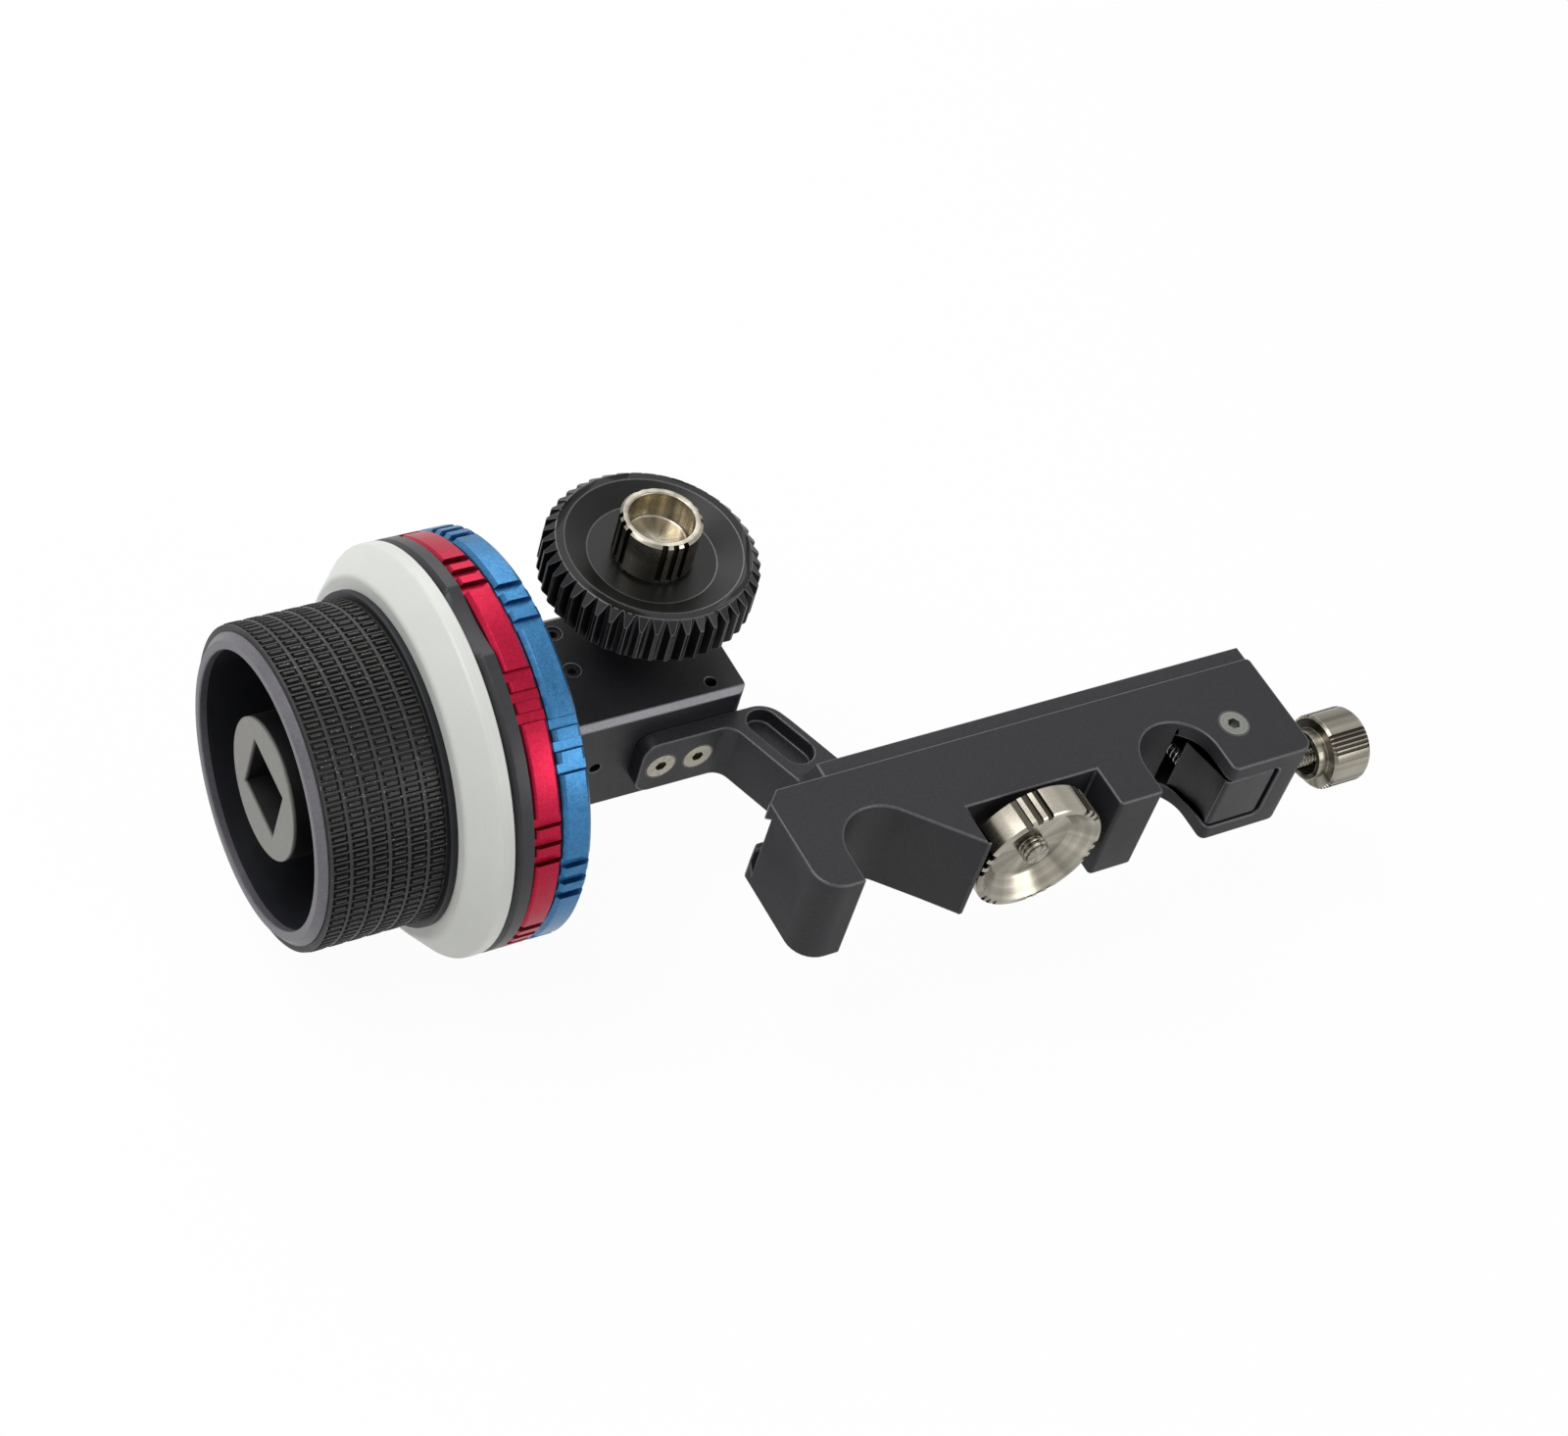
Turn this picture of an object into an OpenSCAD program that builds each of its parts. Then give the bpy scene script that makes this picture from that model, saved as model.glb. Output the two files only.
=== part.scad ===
// Follow focus unit. A handwheel turns a lens gear through a crossed gear pair, and a dovetail
// rail carries the gearbox across a clamp that grips two rods.
// The origin is the axis of the left rod seat, half way through the clamp. +Z runs along the
// rods and the lens gear's axis, +X along the handwheel's axis and away from the wheel, and the
// rods enter the clamp from -Y. All sizes are in millimetres.

/* [Rods and clamp] */
// Distance between the axes of the two rods
rod_pitch = 60; // [58:0.5:66]
// Radius of the rods
rod_r = 7.5; // [7:0.1:7.9]
// Clearance between a rod and its seat
seat_gap = 0.1; // [0.05:0.05:0.3]
// Thickness of the clamp along the rods
clamp_t = 19.6; // [18:0.1:24]
// Left end of the clamp, measured from the left rod
clamp_left = 15.6; // [14:0.1:18]
// Right end of the clamp, measured from the right rod
clamp_right = 25.2; // [24:0.1:30]
// Front face of the clamp, measured from the rod axes
clamp_front = 5.8; // [5:0.1:6.5]
// Rear face of the clamp, measured from the rod axes
clamp_rear = 16; // [15.5:0.1:18]
// Rounding of the left front foot
foot_round = 5; // [3:0.1:6]
// Rounding of the right front corner
corner_round = 2.5; // [1:0.1:4]
// Bevel of the left rear corner
rear_bevel = 2.4; // [1:0.1:3]
// Width of the slot that holds the lock wheel
slot_w = 26.7; // [26:0.1:28]
// Back of the lock wheel's slot, measured from the rod axes
slot_back = 2.4; // [2.2:0.1:3]

/* [Rail] */
// Length of the rail
rail_len = 91; // [80:0.5:100]
// Left end of the rail, measured from the left rod
rail_left = 5.5; // [5:0.1:7]
// Thickness of the rail's plate
rail_t = 3.2; // [2.8:0.1:4]
// Height of the rail's plate
rail_h = 17.2; // [16:0.1:18]
// Bevel at the rail's left end
rail_bevel = 2.5; // [1:0.1:4]
// Gap between the clamp and the rail's plate
rail_gap = 0.3; // [0.25:0.05:0.5]
// Width of the dovetail at its neck
neck_w = 9; // [8:0.1:10]
// How far the dovetail widens on each side
dove_flare = 2.5; // [2:0.1:2.8]
// Straight part of the dovetail's neck below the clamp's rear face
neck_depth = 1.4; // [1:0.1:1.6]
// Clearance all round the dovetail
dove_gap = 0.08; // [0.05:0.01:0.15]

/* [Lock wheel] */
// Radius of the lock wheel
lock_r = 12.25; // [11.5:0.05:12.4]
// Thickness of the lock wheel
lock_t = 6; // [5:0.1:6.3]
// Gap between the lock wheel and the back of its slot
lock_gap = 1.9; // [1.7:0.05:2.2]
// Width of the lock wheel's rim
lock_rim = 1.15; // [0.9:0.05:1.6]
// Radius of the flat floor of the lock wheel's dish
lock_floor_r = 7.75; // [6:0.05:9]
// Depth of the lock wheel's dish
lock_dish = 3.1; // [2:0.1:3.8]
// Radius of the lock stud
lock_stud_r = 2.5; // [2:0.1:3]
// How far the lock stud stands out of the dish floor
lock_stud_out = 2.4; // [1:0.1:3]
// Radius of the pressure shoe
shoe_r = 4; // [3.5:0.1:5]
// Thickness of the pressure shoe
shoe_t = 1.6; // [1:0.1:2]
// Travel of the lock stud
lock_travel = 1; // [0.5:0.1:1.4]
// Gap between the pressure shoe and the rail
shoe_gap = 0.1; // [0.05:0.05:0.3]

/* [Jaw] */
// Height of the jaw along the rods
jaw_h = 11.6; // [10:0.1:12]
// Gap between the jaw and the clamp's flanges
jaw_gap = 0.6; // [0.3:0.1:0.8]
// Jaw pivot, to the right of the right rod
pivot_x = 13.5; // [13:0.1:14]
// Jaw pivot, behind the rod axes
pivot_y = 3.5; // [3:0.1:4]
// Radius of the jaw's knuckle round its pivot
knuckle_r = 5.3; // [5:0.1:5.5]
// Radius of the pivot screw's shank
pivot_r = 2; // [1.6:0.1:2.4]
// Radius of the pivot screw's head
pivot_head_r = 2.6; // [2.4:0.1:3.4]
// Angle by which the jaw stands open
jaw_open = 8.9; // [6:0.1:10]
// Back of the jaw's tail, behind the rod axes
tail_y = 5; // [4.6:0.1:5.4]
// Left end of the jaw's tail, to the right of the right rod
tail_x = 5.5; // [5:0.1:6]
// Gap between the jaw and the wall on its right
wall_gap = 0.4; // [0.3:0.1:0.6]
// Back of the jaw's pocket, behind the rod axes
pocket_back = 10.4; // [10.1:0.1:10.8]
// Outer radius of the jaw's spring
spring_r = 1.35; // [1.2:0.05:1.6]
// Radius of the spring's wire
spring_wire_r = 0.25; // [0.2:0.05:0.35]
// Length of the spring
spring_len = 4.3; // [3.6:0.1:4.4]
// Turns of the spring
spring_turns = 5; // [3:1:6]

/* [Jaw screw] */
// Jaw screw's axis, in front of the rod axes
screw_y = 0.9; // [0.5:0.1:1.5]
// Radius of the jaw screw's stud
stud_r = 1.9; // [1.5:0.1:2.2]
// Free length of stud between the clamp and the knob's collar
stud_free = 4.9; // [4:0.1:7]
// Radius of the knob's collar
collar_r = 4.6; // [4:0.1:5]
// Bore radius of the knob's collar
collar_bore_r = 3.6; // [3:0.1:3.8]
// Length of the knob's collar
collar_len = 2; // [1:0.1:4]
// Radius of the knob
knob_r = 6.85; // [6:0.05:8]
// Length of the knob
knob_len = 8.4; // [6:0.1:10]

/* [Gearbox] */
// Handwheel axis, behind the rod axes
hand_y = 49.7; // [49:0.1:54]
// Handwheel axis, along the rods
hand_z = -1.4; // [-2:0.1:0]
// Right side of the gearbox, to the left of the left rod
box_right = 6.8; // [6:0.1:8]
// Width of the gearbox along the handwheel's axis
box_w = 39.2; // [38:0.1:42]
// Depth of the gearbox
box_d = 24.8; // [24:0.1:28]
// Height of the gearbox above the handwheel's axis
box_up = 10.8; // [10.5:0.1:13]
// Height of the gearbox below the handwheel's axis
box_down = 10.8; // [10:0.1:12.5]
// Bevel of the gearbox's upper edges
box_bevel = 1; // [0.5:0.1:1.4]
// Rounding of the gearbox's upright edges
box_round = 1.7; // [1:0.1:2.5]
// Lens gear's axis, to the left of the left rod
out_x = 20.1; // [19:0.1:21]
// Distance between the handwheel's axis and the lens gear's axis
gear_cross = 5.9; // [5.8:0.05:6.2]

/* [Bracket] */
// Height of the bracket arm
arm_h = 12; // [10:0.1:13]
// Middle of the bracket arm, along the rods
arm_z = -2; // [-2.5:0.1:-1.5]
// Thickness of the bracket's plate
plate_t = 3; // [2.6:0.1:4]
// Left end of the bracket's plate, to the left of the left rod
plate_left = 26.8; // [26.4:0.1:29]
// Right edge of the arm where it meets the rail
arm_foot = 5.2; // [4.6:0.1:6]
// Width of the arm where it meets the rail
arm_w = 9.9; // [9.5:0.1:11]
// Angle between the arm and the direction of the rail's thickness
arm_lean = 20.6; // [18:0.1:22]
// Rounding outside the arm's bend
bend_out = 5; // [3:0.1:6]
// Rounding inside the arm's bend
bend_in = 3; // [1:0.1:4]
// Width of the pocket in the arm's upper side
pocket_w = 5.6; // [4:0.1:6]
// Depth of the pocket in the arm's upper side
pocket_d = 3; // [2:0.1:3.6]
// Length of the pocket between the centres of its round ends
pocket_len = 8; // [6:0.1:9]

/* [Lens gear] */
// Module of the lens gear
gear_mod = 0.8; // [0.75:0.01:0.82]
// Teeth on the lens gear
gear_teeth = 44; // [40:1:46]
// Thickness of the lens gear
gear_t = 9.9; // [8:0.1:12]
// Gap between the gearbox and the lens gear
gear_lift = 10.5; // [9:0.1:13]
// Radius of the lens gear's dish at its rim
dish_r = 15.1; // [14:0.1:15.4]
// Radius of the flat floor of the lens gear's dish
dish_floor_r = 11; // [9:0.1:12.5]
// Depth of the lens gear's dish
dish_d = 2.2; // [1:0.1:3]
// Radius of the cap on the lens gear
cap_r = 6.95; // [6:0.05:8]
// Height of the cap on the lens gear
cap_h = 8.3; // [7:0.1:10]
// Bore radius of the cap
cap_bore_r = 5.5; // [4.5:0.1:5.7]
// Depth of the cap's bore
cap_bore_d = 5.4; // [3:0.1:6]

/* [Handwheel] */
// Radius of the handwheel's cup
cup_r = 23.4; // [21:0.1:24.5]
// Radius of the drum under the rubber grip
drum_r = 26; // [25:0.1:27]
// Radius of the rubber grip
grip_r = 27.4; // [26.8:0.1:29]
// Length of the handwheel's rim ring
rim_len = 1.4; // [1:0.1:3]
// Width of the flat face of the rim ring
rim_face = 1.5; // [1:0.1:2.2]
// Length of the rubber grip
grip_len = 19.8; // [18:0.1:22]
// Rows of ribs on the rubber grip
grip_rows = 6; // [5:1:9]
// Length of the plain flange behind the rubber grip
flange_len = 1.3; // [1:0.1:2]
// Radius of the plain flange behind the rubber grip
flange_r = 28.5; // [27.6:0.1:29.5]
// Depth of the handwheel's cup
cup_d = 14.3; // [12:0.1:16]
// Radius of the crank socket's boss
boss_r = 12.1; // [11:0.05:14]
// Side of the square crank socket
socket_w = 12; // [10:0.1:14]
// Turn of the square crank socket about the handwheel's axis
socket_turn = 5; // [-45:1:45]
// Distance that the boss lies below the rim
boss_drop = 1.4; // [0.5:0.1:3]

/* [Marking disc and rings] */
// Radius of the marking disc and the rings
disc_r = 35.2; // [33:0.1:38]
// Radius of the marking disc where its slope starts
disc_in_r = 30.8; // [29:0.1:32]
// Thickness of the marking disc
disc_t = 6.7; // [6:0.1:8]
// Length of the marking disc's edge
disc_edge = 2.3; // [1:0.1:3]
// Gap between the marking disc and the index ring
disc_gap = 0.24; // [0.2:0.02:0.5]
// Length of the index ring
index_len = 3.1; // [2.6:0.1:5]
// Depth of the finger scoop in the index ring
scoop_d = 1.35; // [0.8:0.05:1.8]
// Radius of the finger scoop
scoop_r = 38; // [30:1:50]
// Length of each stop ring
ring_len = 5; // [4:0.1:6]
// Gap on each side of a stop ring
ring_gap = 0.15; // [0.1:0.05:0.3]
// Edge bevel of the rings
ring_bevel = 0.7; // [0.4:0.05:1.2]
// Radius of the hub that carries the stop rings
hub_r = 24; // [22:0.1:27]
// Clearance between the hub and the stop rings
ring_fit = 0.06; // [0.03:0.01:0.1]
// Groups of grooves round each stop ring
ring_groups = 9; // [6:1:10]
// Depth of the stop rings' grooves
ring_groove_d = 0.9; // [0.5:0.05:1.2]
// Width of the stop rings' grooves
ring_groove_w = 1.7; // [1:0.1:2.2]

/* [Shafts and small parts] */
// Radius of the handwheel's shaft
shaft_r = 4; // [3.5:0.1:4.4]
// Radius of the thin end of both shafts
pilot_r = 1.5; // [1.3:0.05:1.7]
// Radius of the lens gear's shaft
out_shaft_r = 3; // [2.6:0.1:3.4]
// Outer radius of both crossed gears
pinion_r = 2.8; // [2.4:0.05:2.85]
// Length of both crossed gears
pinion_len = 6; // [5:0.1:7]
// Teeth on both crossed gears
pinion_teeth = 8; // [7:1:9]
// Wall of the bushes
bush_wall = 1.5; // [1.2:0.1:1.6]
// Running clearance of shafts, studs and pins
run_gap = 0.05; // [0.02:0.01:0.08]
// Shank radius of the bracket's screws
m3_r = 1.5; // [1.3:0.05:1.6]
// Head radius of the bracket's screws
m3_head_r = 2.65; // [2.4:0.05:2.9]
// Shank radius of the small countersunk screws
m25_r = 1.25; // [1:0.05:1.4]
// Head radius of the small countersunk screws
m25_head_r = 2.3; // [2:0.05:2.35]

/* [Hidden] */
$fn = 96;
over = 1;                       // how far a cut runs past the face that it opens
seat_r = rod_r + seat_gap;

// Colours as the photograph shows them
black_c = [0.15, 0.15, 0.16];
clamp_c = [0.2, 0.2, 0.22];
nickel_c = [0.78, 0.75, 0.68];
steel_c = [0.62, 0.62, 0.6];
bronze_c = [0.7, 0.5, 0.28];
rubber_c = [0.14, 0.15, 0.14];
rim_c = [0.45, 0.44, 0.45];

// Rail
rail_front = clamp_rear + rail_gap;
rail_rear = rail_front + rail_t;
groove_floor = clamp_rear - neck_depth - dove_flare;
dove_front = groove_floor + dove_gap;
dove_w = neck_w + 2 * dove_flare;
rail_screw_z = [-2.35, 2.35];   // places of the rail's screws, inside the dovetail's neck
rail_screw_len = rail_rear - dove_front + 3.2;

// Lock
lock_x = rod_pitch / 2;
lock_back = slot_back - lock_gap;
lock_front = lock_back - lock_t;
shoe_back = dove_front - shoe_gap;
shoe_room = 0.4;
shoe_floor = shoe_back - shoe_t - lock_travel - shoe_room;
nut_gap = 0.3;
nut_t = lock_gap - nut_gap;
nut_af = 8;

// Jaw
pivot = [rod_pitch + pivot_x, pivot_y];
pocket_h = jaw_h + 2 * jaw_gap;
jaw_right = pivot[0] + knuckle_r;
pocket_right = jaw_right + wall_gap;
pocket_left = rod_pitch + tail_x - 1.5;
clamp_right_x = rod_pitch + clamp_right;
jaw_seat_r = rod_r + 0.05;
jaw_front = clamp_front - 0.3;
jaw_round = 1;
jaw_edge_r = 1.2;               // rounding of the jaw's right edges, and of the pocket round them
pocket_edge_r = 1.6;
rear_round = 1;                 // roundings of the clamp's outline
small_round = 0.8;
lip_round = 1.3;
spring_x = rod_pitch + tail_x + spring_r + 0.15;
pad_r = stud_r - 0.3;
pad_tip = jaw_right + 0.3;
pad_end = pad_tip + 2;
collar_x = clamp_right_x + stud_free;
knob_x = collar_x + collar_len;

// Gearbox
box_x1 = -box_right;
box_x0 = -box_right - box_w;
box_y0 = hand_y - box_d / 2;
box_z0 = hand_z - box_down;
box_z1 = hand_z + box_up;
out_y = hand_y + gear_cross;
spigot_r = 7.5;
spigot_end = box_x0 + 16;
cavity_end = -out_x + pinion_len / 2 + 3;
bore_out_r = pinion_r + 1.8;
cap_plug_r = bore_out_r + 1;
cap_plug_t = 2.5;
pilot_bush_r = pilot_r + bush_wall;
pilot_bush_end = box_x1 - 2.4;
neck_r = 7;
neck_spigot = 3;
set_screws = [[-34.2, 0.2], [-33.7, 8.6]];  // places in X and behind the handwheel's axis
set_screw_r = 1.5;
accessory_r = 1.05;             // tapped holes for accessories
accessory_x = -33.8;
accessory_z = hand_z - 0.6;

// Rings, from right to left
blue_x1 = box_x0 - 0.75 - ring_gap;
blue_x0 = blue_x1 - ring_len;
red_x1 = blue_x0 - 1.4 * ring_gap;
red_x0 = red_x1 - ring_len;
index_x1 = red_x0 - ring_gap;
index_x0 = index_x1 - index_len;
hub_flange_r = hub_r + 3;
hub_wall = 5.2;
hub_face = 3;                   // thickness of the hub's face next to the gearbox
nose_r = 9;
screw_grip = 4;                 // thread that a small screw has in its tapped hole
scoop_turn = 185;
oring_r = 0.7;
oring_w = 1.6;
oring_d = 2 * oring_r;
oring_x = [(blue_x0 + blue_x1) / 2, (red_x0 + red_x1) / 2];
index_screw_at = hub_r - oring_d - m25_r - 0.3;
bush_a_r = shaft_r + bush_wall;
bush_len = 6;

// Marking disc and handwheel, from right to left
disc_x1 = index_x0 - disc_gap;
disc_x0 = disc_x1 - disc_t;
drum_x1 = disc_x0;
flange_x0 = drum_x1 - flange_len;
drum_x0 = flange_x0 - grip_len;
rim_x0 = drum_x0 - rim_len;
cup_x = rim_x0 + cup_d;
boss_x0 = rim_x0 + boss_drop;
boss_floor = 2;
screw_hole_r = 2;
rear_boss_r = 12;
disc_screw_r = hub_r - 6;

// Lens gear
tip_r = gear_mod * (gear_teeth + 2) / 2;
pitch_r = gear_mod * gear_teeth / 2;
root_r = gear_mod * (gear_teeth - 2.5) / 2;
gear_z0 = box_z1 + gear_lift;
gear_z1 = gear_z0 + gear_t;
dish_z = gear_z1 - dish_d;
washer_t = 0.5;
washer_r = 6.4;
cap_z0 = dish_z + washer_t + 0.05;
cap_z1 = cap_z0 + cap_h;
shaft_top = cap_z0 + 1.7;
out_step = box_z1 - 6.4;
neck_top = gear_z0 - 0.4;

// Bracket arm. The edges lean by arm_lean from the rail up to the plate.
arm_z0 = arm_z - arm_h / 2;
arm_z1 = arm_z + arm_h / 2;
plate_y = box_y0 - plate_t;
function arm_right(y) = arm_foot - (y - rail_rear) * tan(arm_lean);
function arm_left(y) = arm_foot - arm_w - (y - rail_rear) * tan(arm_lean);
arm_mid_w = arm_w * cos(arm_lean);
bracket_screw_x = [-22.7, -15.6];
rail_screw_x = arm_foot - arm_w / 2 - 1.2;

// ---------- outlines ----------

function unit(v) = v / norm(v);

// Points of the arc of radius r that rounds corner b, between its neighbours a and c.
function corner(a, b, c, r) =
    let (u = unit(a - b), v = unit(c - b))
    let (half = acos(u * v) / 2, mid = b + unit(u + v) * r / sin(half))
    let (p = b + u * r / tan(half) - mid, q = b + v * r / tan(half) - mid)
    let (a0 = atan2(p[1], p[0]), turn = atan2(p[0] * q[1] - p[1] * q[0], p * q))
    r == 0 ? [b] : [for (i = [0:8]) mid + r * [cos(a0 + turn * i / 8), sin(a0 + turn * i / 8)]];

// A polygon whose corner i is rounded by radii[i].
module rounded(points, radii) {
    n = len(points);
    polygon([for (i = [0:n - 1])
        each corner(points[(i + n - 1) % n], points[i], points[(i + 1) % n], radii[i])]);
}

// The corner at tip, between the ways a and b, that is cut off so that radius r is left.
module off_corner(tip, a, b, r) {
    u = unit(a);
    v = unit(b);
    reach = r / tan(acos(u * v) / 2);
    polygon(concat([tip - 0.2 * (u + v), tip + u * reach - 0.05 * v],
        corner(tip + 9 * u, tip, tip + 9 * v, r), [tip + v * reach - 0.05 * u]));
}

module bar(outline_h, z0) {
    translate([0, 0, z0]) linear_extrude(outline_h) children();
}

// Turns a solid built along +Z so that it runs along +X or along +Y.
module along_x(y, z) {
    translate([0, y, z]) rotate([0, 90, 0]) children();
}

module along_y(x, z) {
    translate([x, 0, z]) rotate([-90, 0, 0]) children();
}

module rod(r, from, to) {
    translate([0, 0, from]) cylinder(r = r, h = to - from);
}

module tube(r_out, r_in, from, to) {
    difference() {
        rod(r_out, from, to);
        rod(r_in, from - over, to + over);
    }
}

// A countersunk screw along +Z. Its head's face is at z = 0 and its point at z = length.
module csk_screw(head_r, shank_r, length, key_r) {
    difference() {
        union() {
            cylinder(r1 = head_r, r2 = shank_r, h = head_r - shank_r);
            rod(shank_r, 0, length);
        }
        translate([0, 0, -over]) cylinder(r = key_r, h = over + 0.6 * head_r, $fn = 6);
    }
}

// The hole for such a screw.
module csk_hole(head_r, shank_r, length) {
    rise = head_r - shank_r;
    cylinder(r1 = head_r, r2 = shank_r, h = rise);
    rod(head_r, -over, 0);
    rod(shank_r, 0, length);
}

// Grooves along Z in a round edge of radius r: groups of them, each step degrees apart. Beside the
// middle groove of a group there are side grooves to each side.
module groove_groups(r, depth, width, groups, first, step, from, to, side = 1) {
    for (g = [0:groups - 1], k = [-side:side])
        rotate([0, 0, first + g * 360 / groups + k * step])
            translate([r - depth, -width / 2, from])
                cube([depth + over, width, to - from]);
}

// ---------- clamp ----------

module rod_notch(x) {
    translate([x, 0]) {
        circle(r = seat_r);
        translate([-seat_r, -clamp_front - over]) square([2 * seat_r, clamp_front + over]);
    }
}

module clamp_outline() {
    x0 = -clamp_left;
    difference() {
        rounded([[x0, -clamp_front], [clamp_right_x, -clamp_front], [clamp_right_x, clamp_rear],
                 [x0 + rear_bevel, clamp_rear], [x0, clamp_rear - rear_bevel]],
                [foot_round, corner_round, rear_round, 0, 0]);
        rod_notch(0);
        ramp = seat_r / sqrt(2);
        polygon([[ramp, ramp], [0, -clamp_front - over],
                 [2 * ramp + clamp_front + over, -clamp_front - over]]);
        rod_notch(rod_pitch);
        translate([lock_x - slot_w / 2, -clamp_front - over])
            square([slot_w, clamp_front + over + slot_back]);
        off_corner([lock_x + slot_w / 2, -clamp_front], [0, 1], [1, 0], small_round);
        off_corner([rod_pitch - seat_r, -clamp_front], [0, 1], [-1, 0], small_round);
        off_corner([rod_pitch + seat_r, -clamp_front], [0, 1], [1, 0], lip_round);
    }
}

module dovetail(grow) {
    half = neck_w / 2 + grow;
    flat = dove_front - grow;
    step = clamp_rear - neck_depth;
    polygon([[half, clamp_rear + over], [half, step], [half + dove_flare, flat],
             [-half - dove_flare, flat], [-half, step], [-half, clamp_rear + over]]);
}

// Places an outline drawn as (height, depth) so that it runs along X.
module run_along_x(from, length) {
    translate([from, 0, 0]) rotate([90, 0, 90]) mirror([1, -1, 0]) linear_extrude(length) children();
}

// A slab from x0 to x1 and from y0 to y1, h high, whose right edges along Y have radius r.
module round_slab(x0, x1, h, r, y0, y1) {
    translate([0, y1, 0]) rotate([90, 0, 0]) linear_extrude(y1 - y0)
        rounded([[x0, -h / 2], [x1, -h / 2], [x1, h / 2], [x0, h / 2]], [0, r, r, 0]);
}

module clamp_block() {
    color(clamp_c) difference() {
        bar(clamp_t, -clamp_t / 2) clamp_outline();
        run_along_x(-clamp_left - over, clamp_left + clamp_right_x + 2 * over) dovetail(dove_gap);
        round_slab(pocket_left, pocket_right, pocket_h, pocket_edge_r, -clamp_front - over, pocket_back);
        translate([pivot[0], pivot[1], clamp_t / 2]) mirror([0, 0, 1])
            csk_hole(pivot_head_r, pivot_r, clamp_t + over);
        along_x(-screw_y, 0) rod(stud_r + run_gap, pocket_right - over, clamp_right_x + over);
        along_y(lock_x, 0) {
            rod(lock_stud_r + run_gap, slot_back - over, groove_floor + over);
            rod(shoe_r + run_gap, shoe_floor, groove_floor + over);
        }
    }
}

module jaw_pivot_screw() {
    color(steel_c) translate([pivot[0], pivot[1], clamp_t / 2]) mirror([0, 0, 1])
        csk_screw(pivot_head_r, pivot_r, clamp_t - 0.6, 1.2);
}

// The jaw as it stands open, clear of the rod. Turned back by jaw_open, its hollow lies round the rod.
module jaw_outline() {
    left = rod_pitch + tail_x;
    turn = jaw_open;
    from_pivot = [rod_pitch, 0] - pivot;
    seat = pivot + [from_pivot[0] * cos(turn) - from_pivot[1] * sin(turn),
                    from_pivot[0] * sin(turn) + from_pivot[1] * cos(turn)];
    lip = seat[0] + jaw_seat_r - 0.75;
    difference() {
        union() {
            translate(pivot) circle(r = knuckle_r);
            rounded([[lip, -jaw_front], [jaw_right, -jaw_front], [jaw_right, pivot[1]],
                     [pivot[0], tail_y], [left, tail_y], [left, pivot[1] - 1.5], [lip, 0]],
                    [jaw_round, jaw_round, 0, 0, 0.3, 0, 0]);
        }
        translate(seat) circle(r = jaw_seat_r);
        translate([rod_pitch, 0]) circle(r = seat_r);
    }
}

module clamp_jaw() {
    color(black_c) difference() {
        intersection() {
            bar(jaw_h, -jaw_h / 2) jaw_outline();
            round_slab(0, jaw_right, jaw_h, jaw_edge_r, -clamp_front, pocket_back);
        }
        translate(pivot) rod(pivot_r + run_gap, -jaw_h, jaw_h);
    }
}

// A helix of round wire, swept along +Z as one closed polyhedron.
module coil(r, wire_r, turns, length) {
    per_turn = 16;
    sides = 6;
    rings = turns * per_turn;
    rise = length - 2 * wire_r;
    points = [for (i = [0:rings], k = [0:sides - 1])
        let (a = i * 360 / per_turn, b = k * 360 / sides, c = r - wire_r + wire_r * cos(b))
            [c * cos(a), c * sin(a), wire_r + rise * i / rings + wire_r * sin(b)]];
    skin = [for (i = [0:rings - 1], k = [0:sides - 1])
        let (p = i * sides + k, q = i * sides + (k + 1) % sides)
            [p, p + sides, q + sides, q]];
    ends = [[for (k = [0:sides - 1]) k], [for (k = [sides - 1:-1:0]) rings * sides + k]];
    polyhedron(points, concat(skin, ends));
}

module jaw_spring() {
    color(steel_c) along_y(spring_x, 0) translate([0, 0, tail_y])
        coil(spring_r, spring_wire_r, spring_turns, spring_len);
}

// ---------- jaw screw ----------

module jaw_screw_pad() {
    // a blunt nose, so that the pad meets the jaw near its middle as the jaw turns
    color(bronze_c) along_x(-screw_y, 0) rotate_extrude()
        polygon([[0, pad_tip], [0.35 * pad_r, pad_tip + 0.1], [0.75 * pad_r, pad_tip + 0.5],
                 [pad_r, pad_tip + 1.2], [pad_r, pad_end], [0, pad_end]]);
}

module jaw_screw_stud() {
    color(nickel_c) along_x(-screw_y, 0) rod(stud_r, pad_end + run_gap, knob_x + knob_len / 2);
}

module jaw_screw_knob() {
    lip = 0.5;
    color(nickel_c) along_x(-screw_y, 0) difference() {
        rotate_extrude() polygon([[0, collar_x], [collar_r, collar_x], [collar_r, knob_x],
            [knob_r - lip, knob_x], [knob_r, knob_x + lip], [knob_r, knob_x + knob_len - 2 * lip],
            [knob_r - lip, knob_x + knob_len - lip / 2], [knob_r - 2 * lip, knob_x + knob_len],
            [0, knob_x + knob_len]]);
        rod(collar_bore_r, collar_x - over, knob_x + 0.6);
        rod(stud_r, collar_x, knob_x + knob_len / 2);
        groove_groups(knob_r, 0.4, 0.5, 4, -149, 7, knob_x - over, knob_x + knob_len + over, 2);
    }
}

// ---------- rail lock ----------

module lock_shoe() {
    color(bronze_c) along_y(lock_x, 0) rod(shoe_r, shoe_back - shoe_t, shoe_back);
}

module lock_stud() {
    stud_front = lock_front + lock_dish - lock_stud_out;
    tip = 0.4;
    color(nickel_c) along_y(lock_x, 0) union() {
        rod(lock_stud_r, stud_front + tip, shoe_back - shoe_t - run_gap);
        translate([0, 0, stud_front]) cylinder(r1 = lock_stud_r - tip, r2 = lock_stud_r, h = tip);
    }
}

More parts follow.
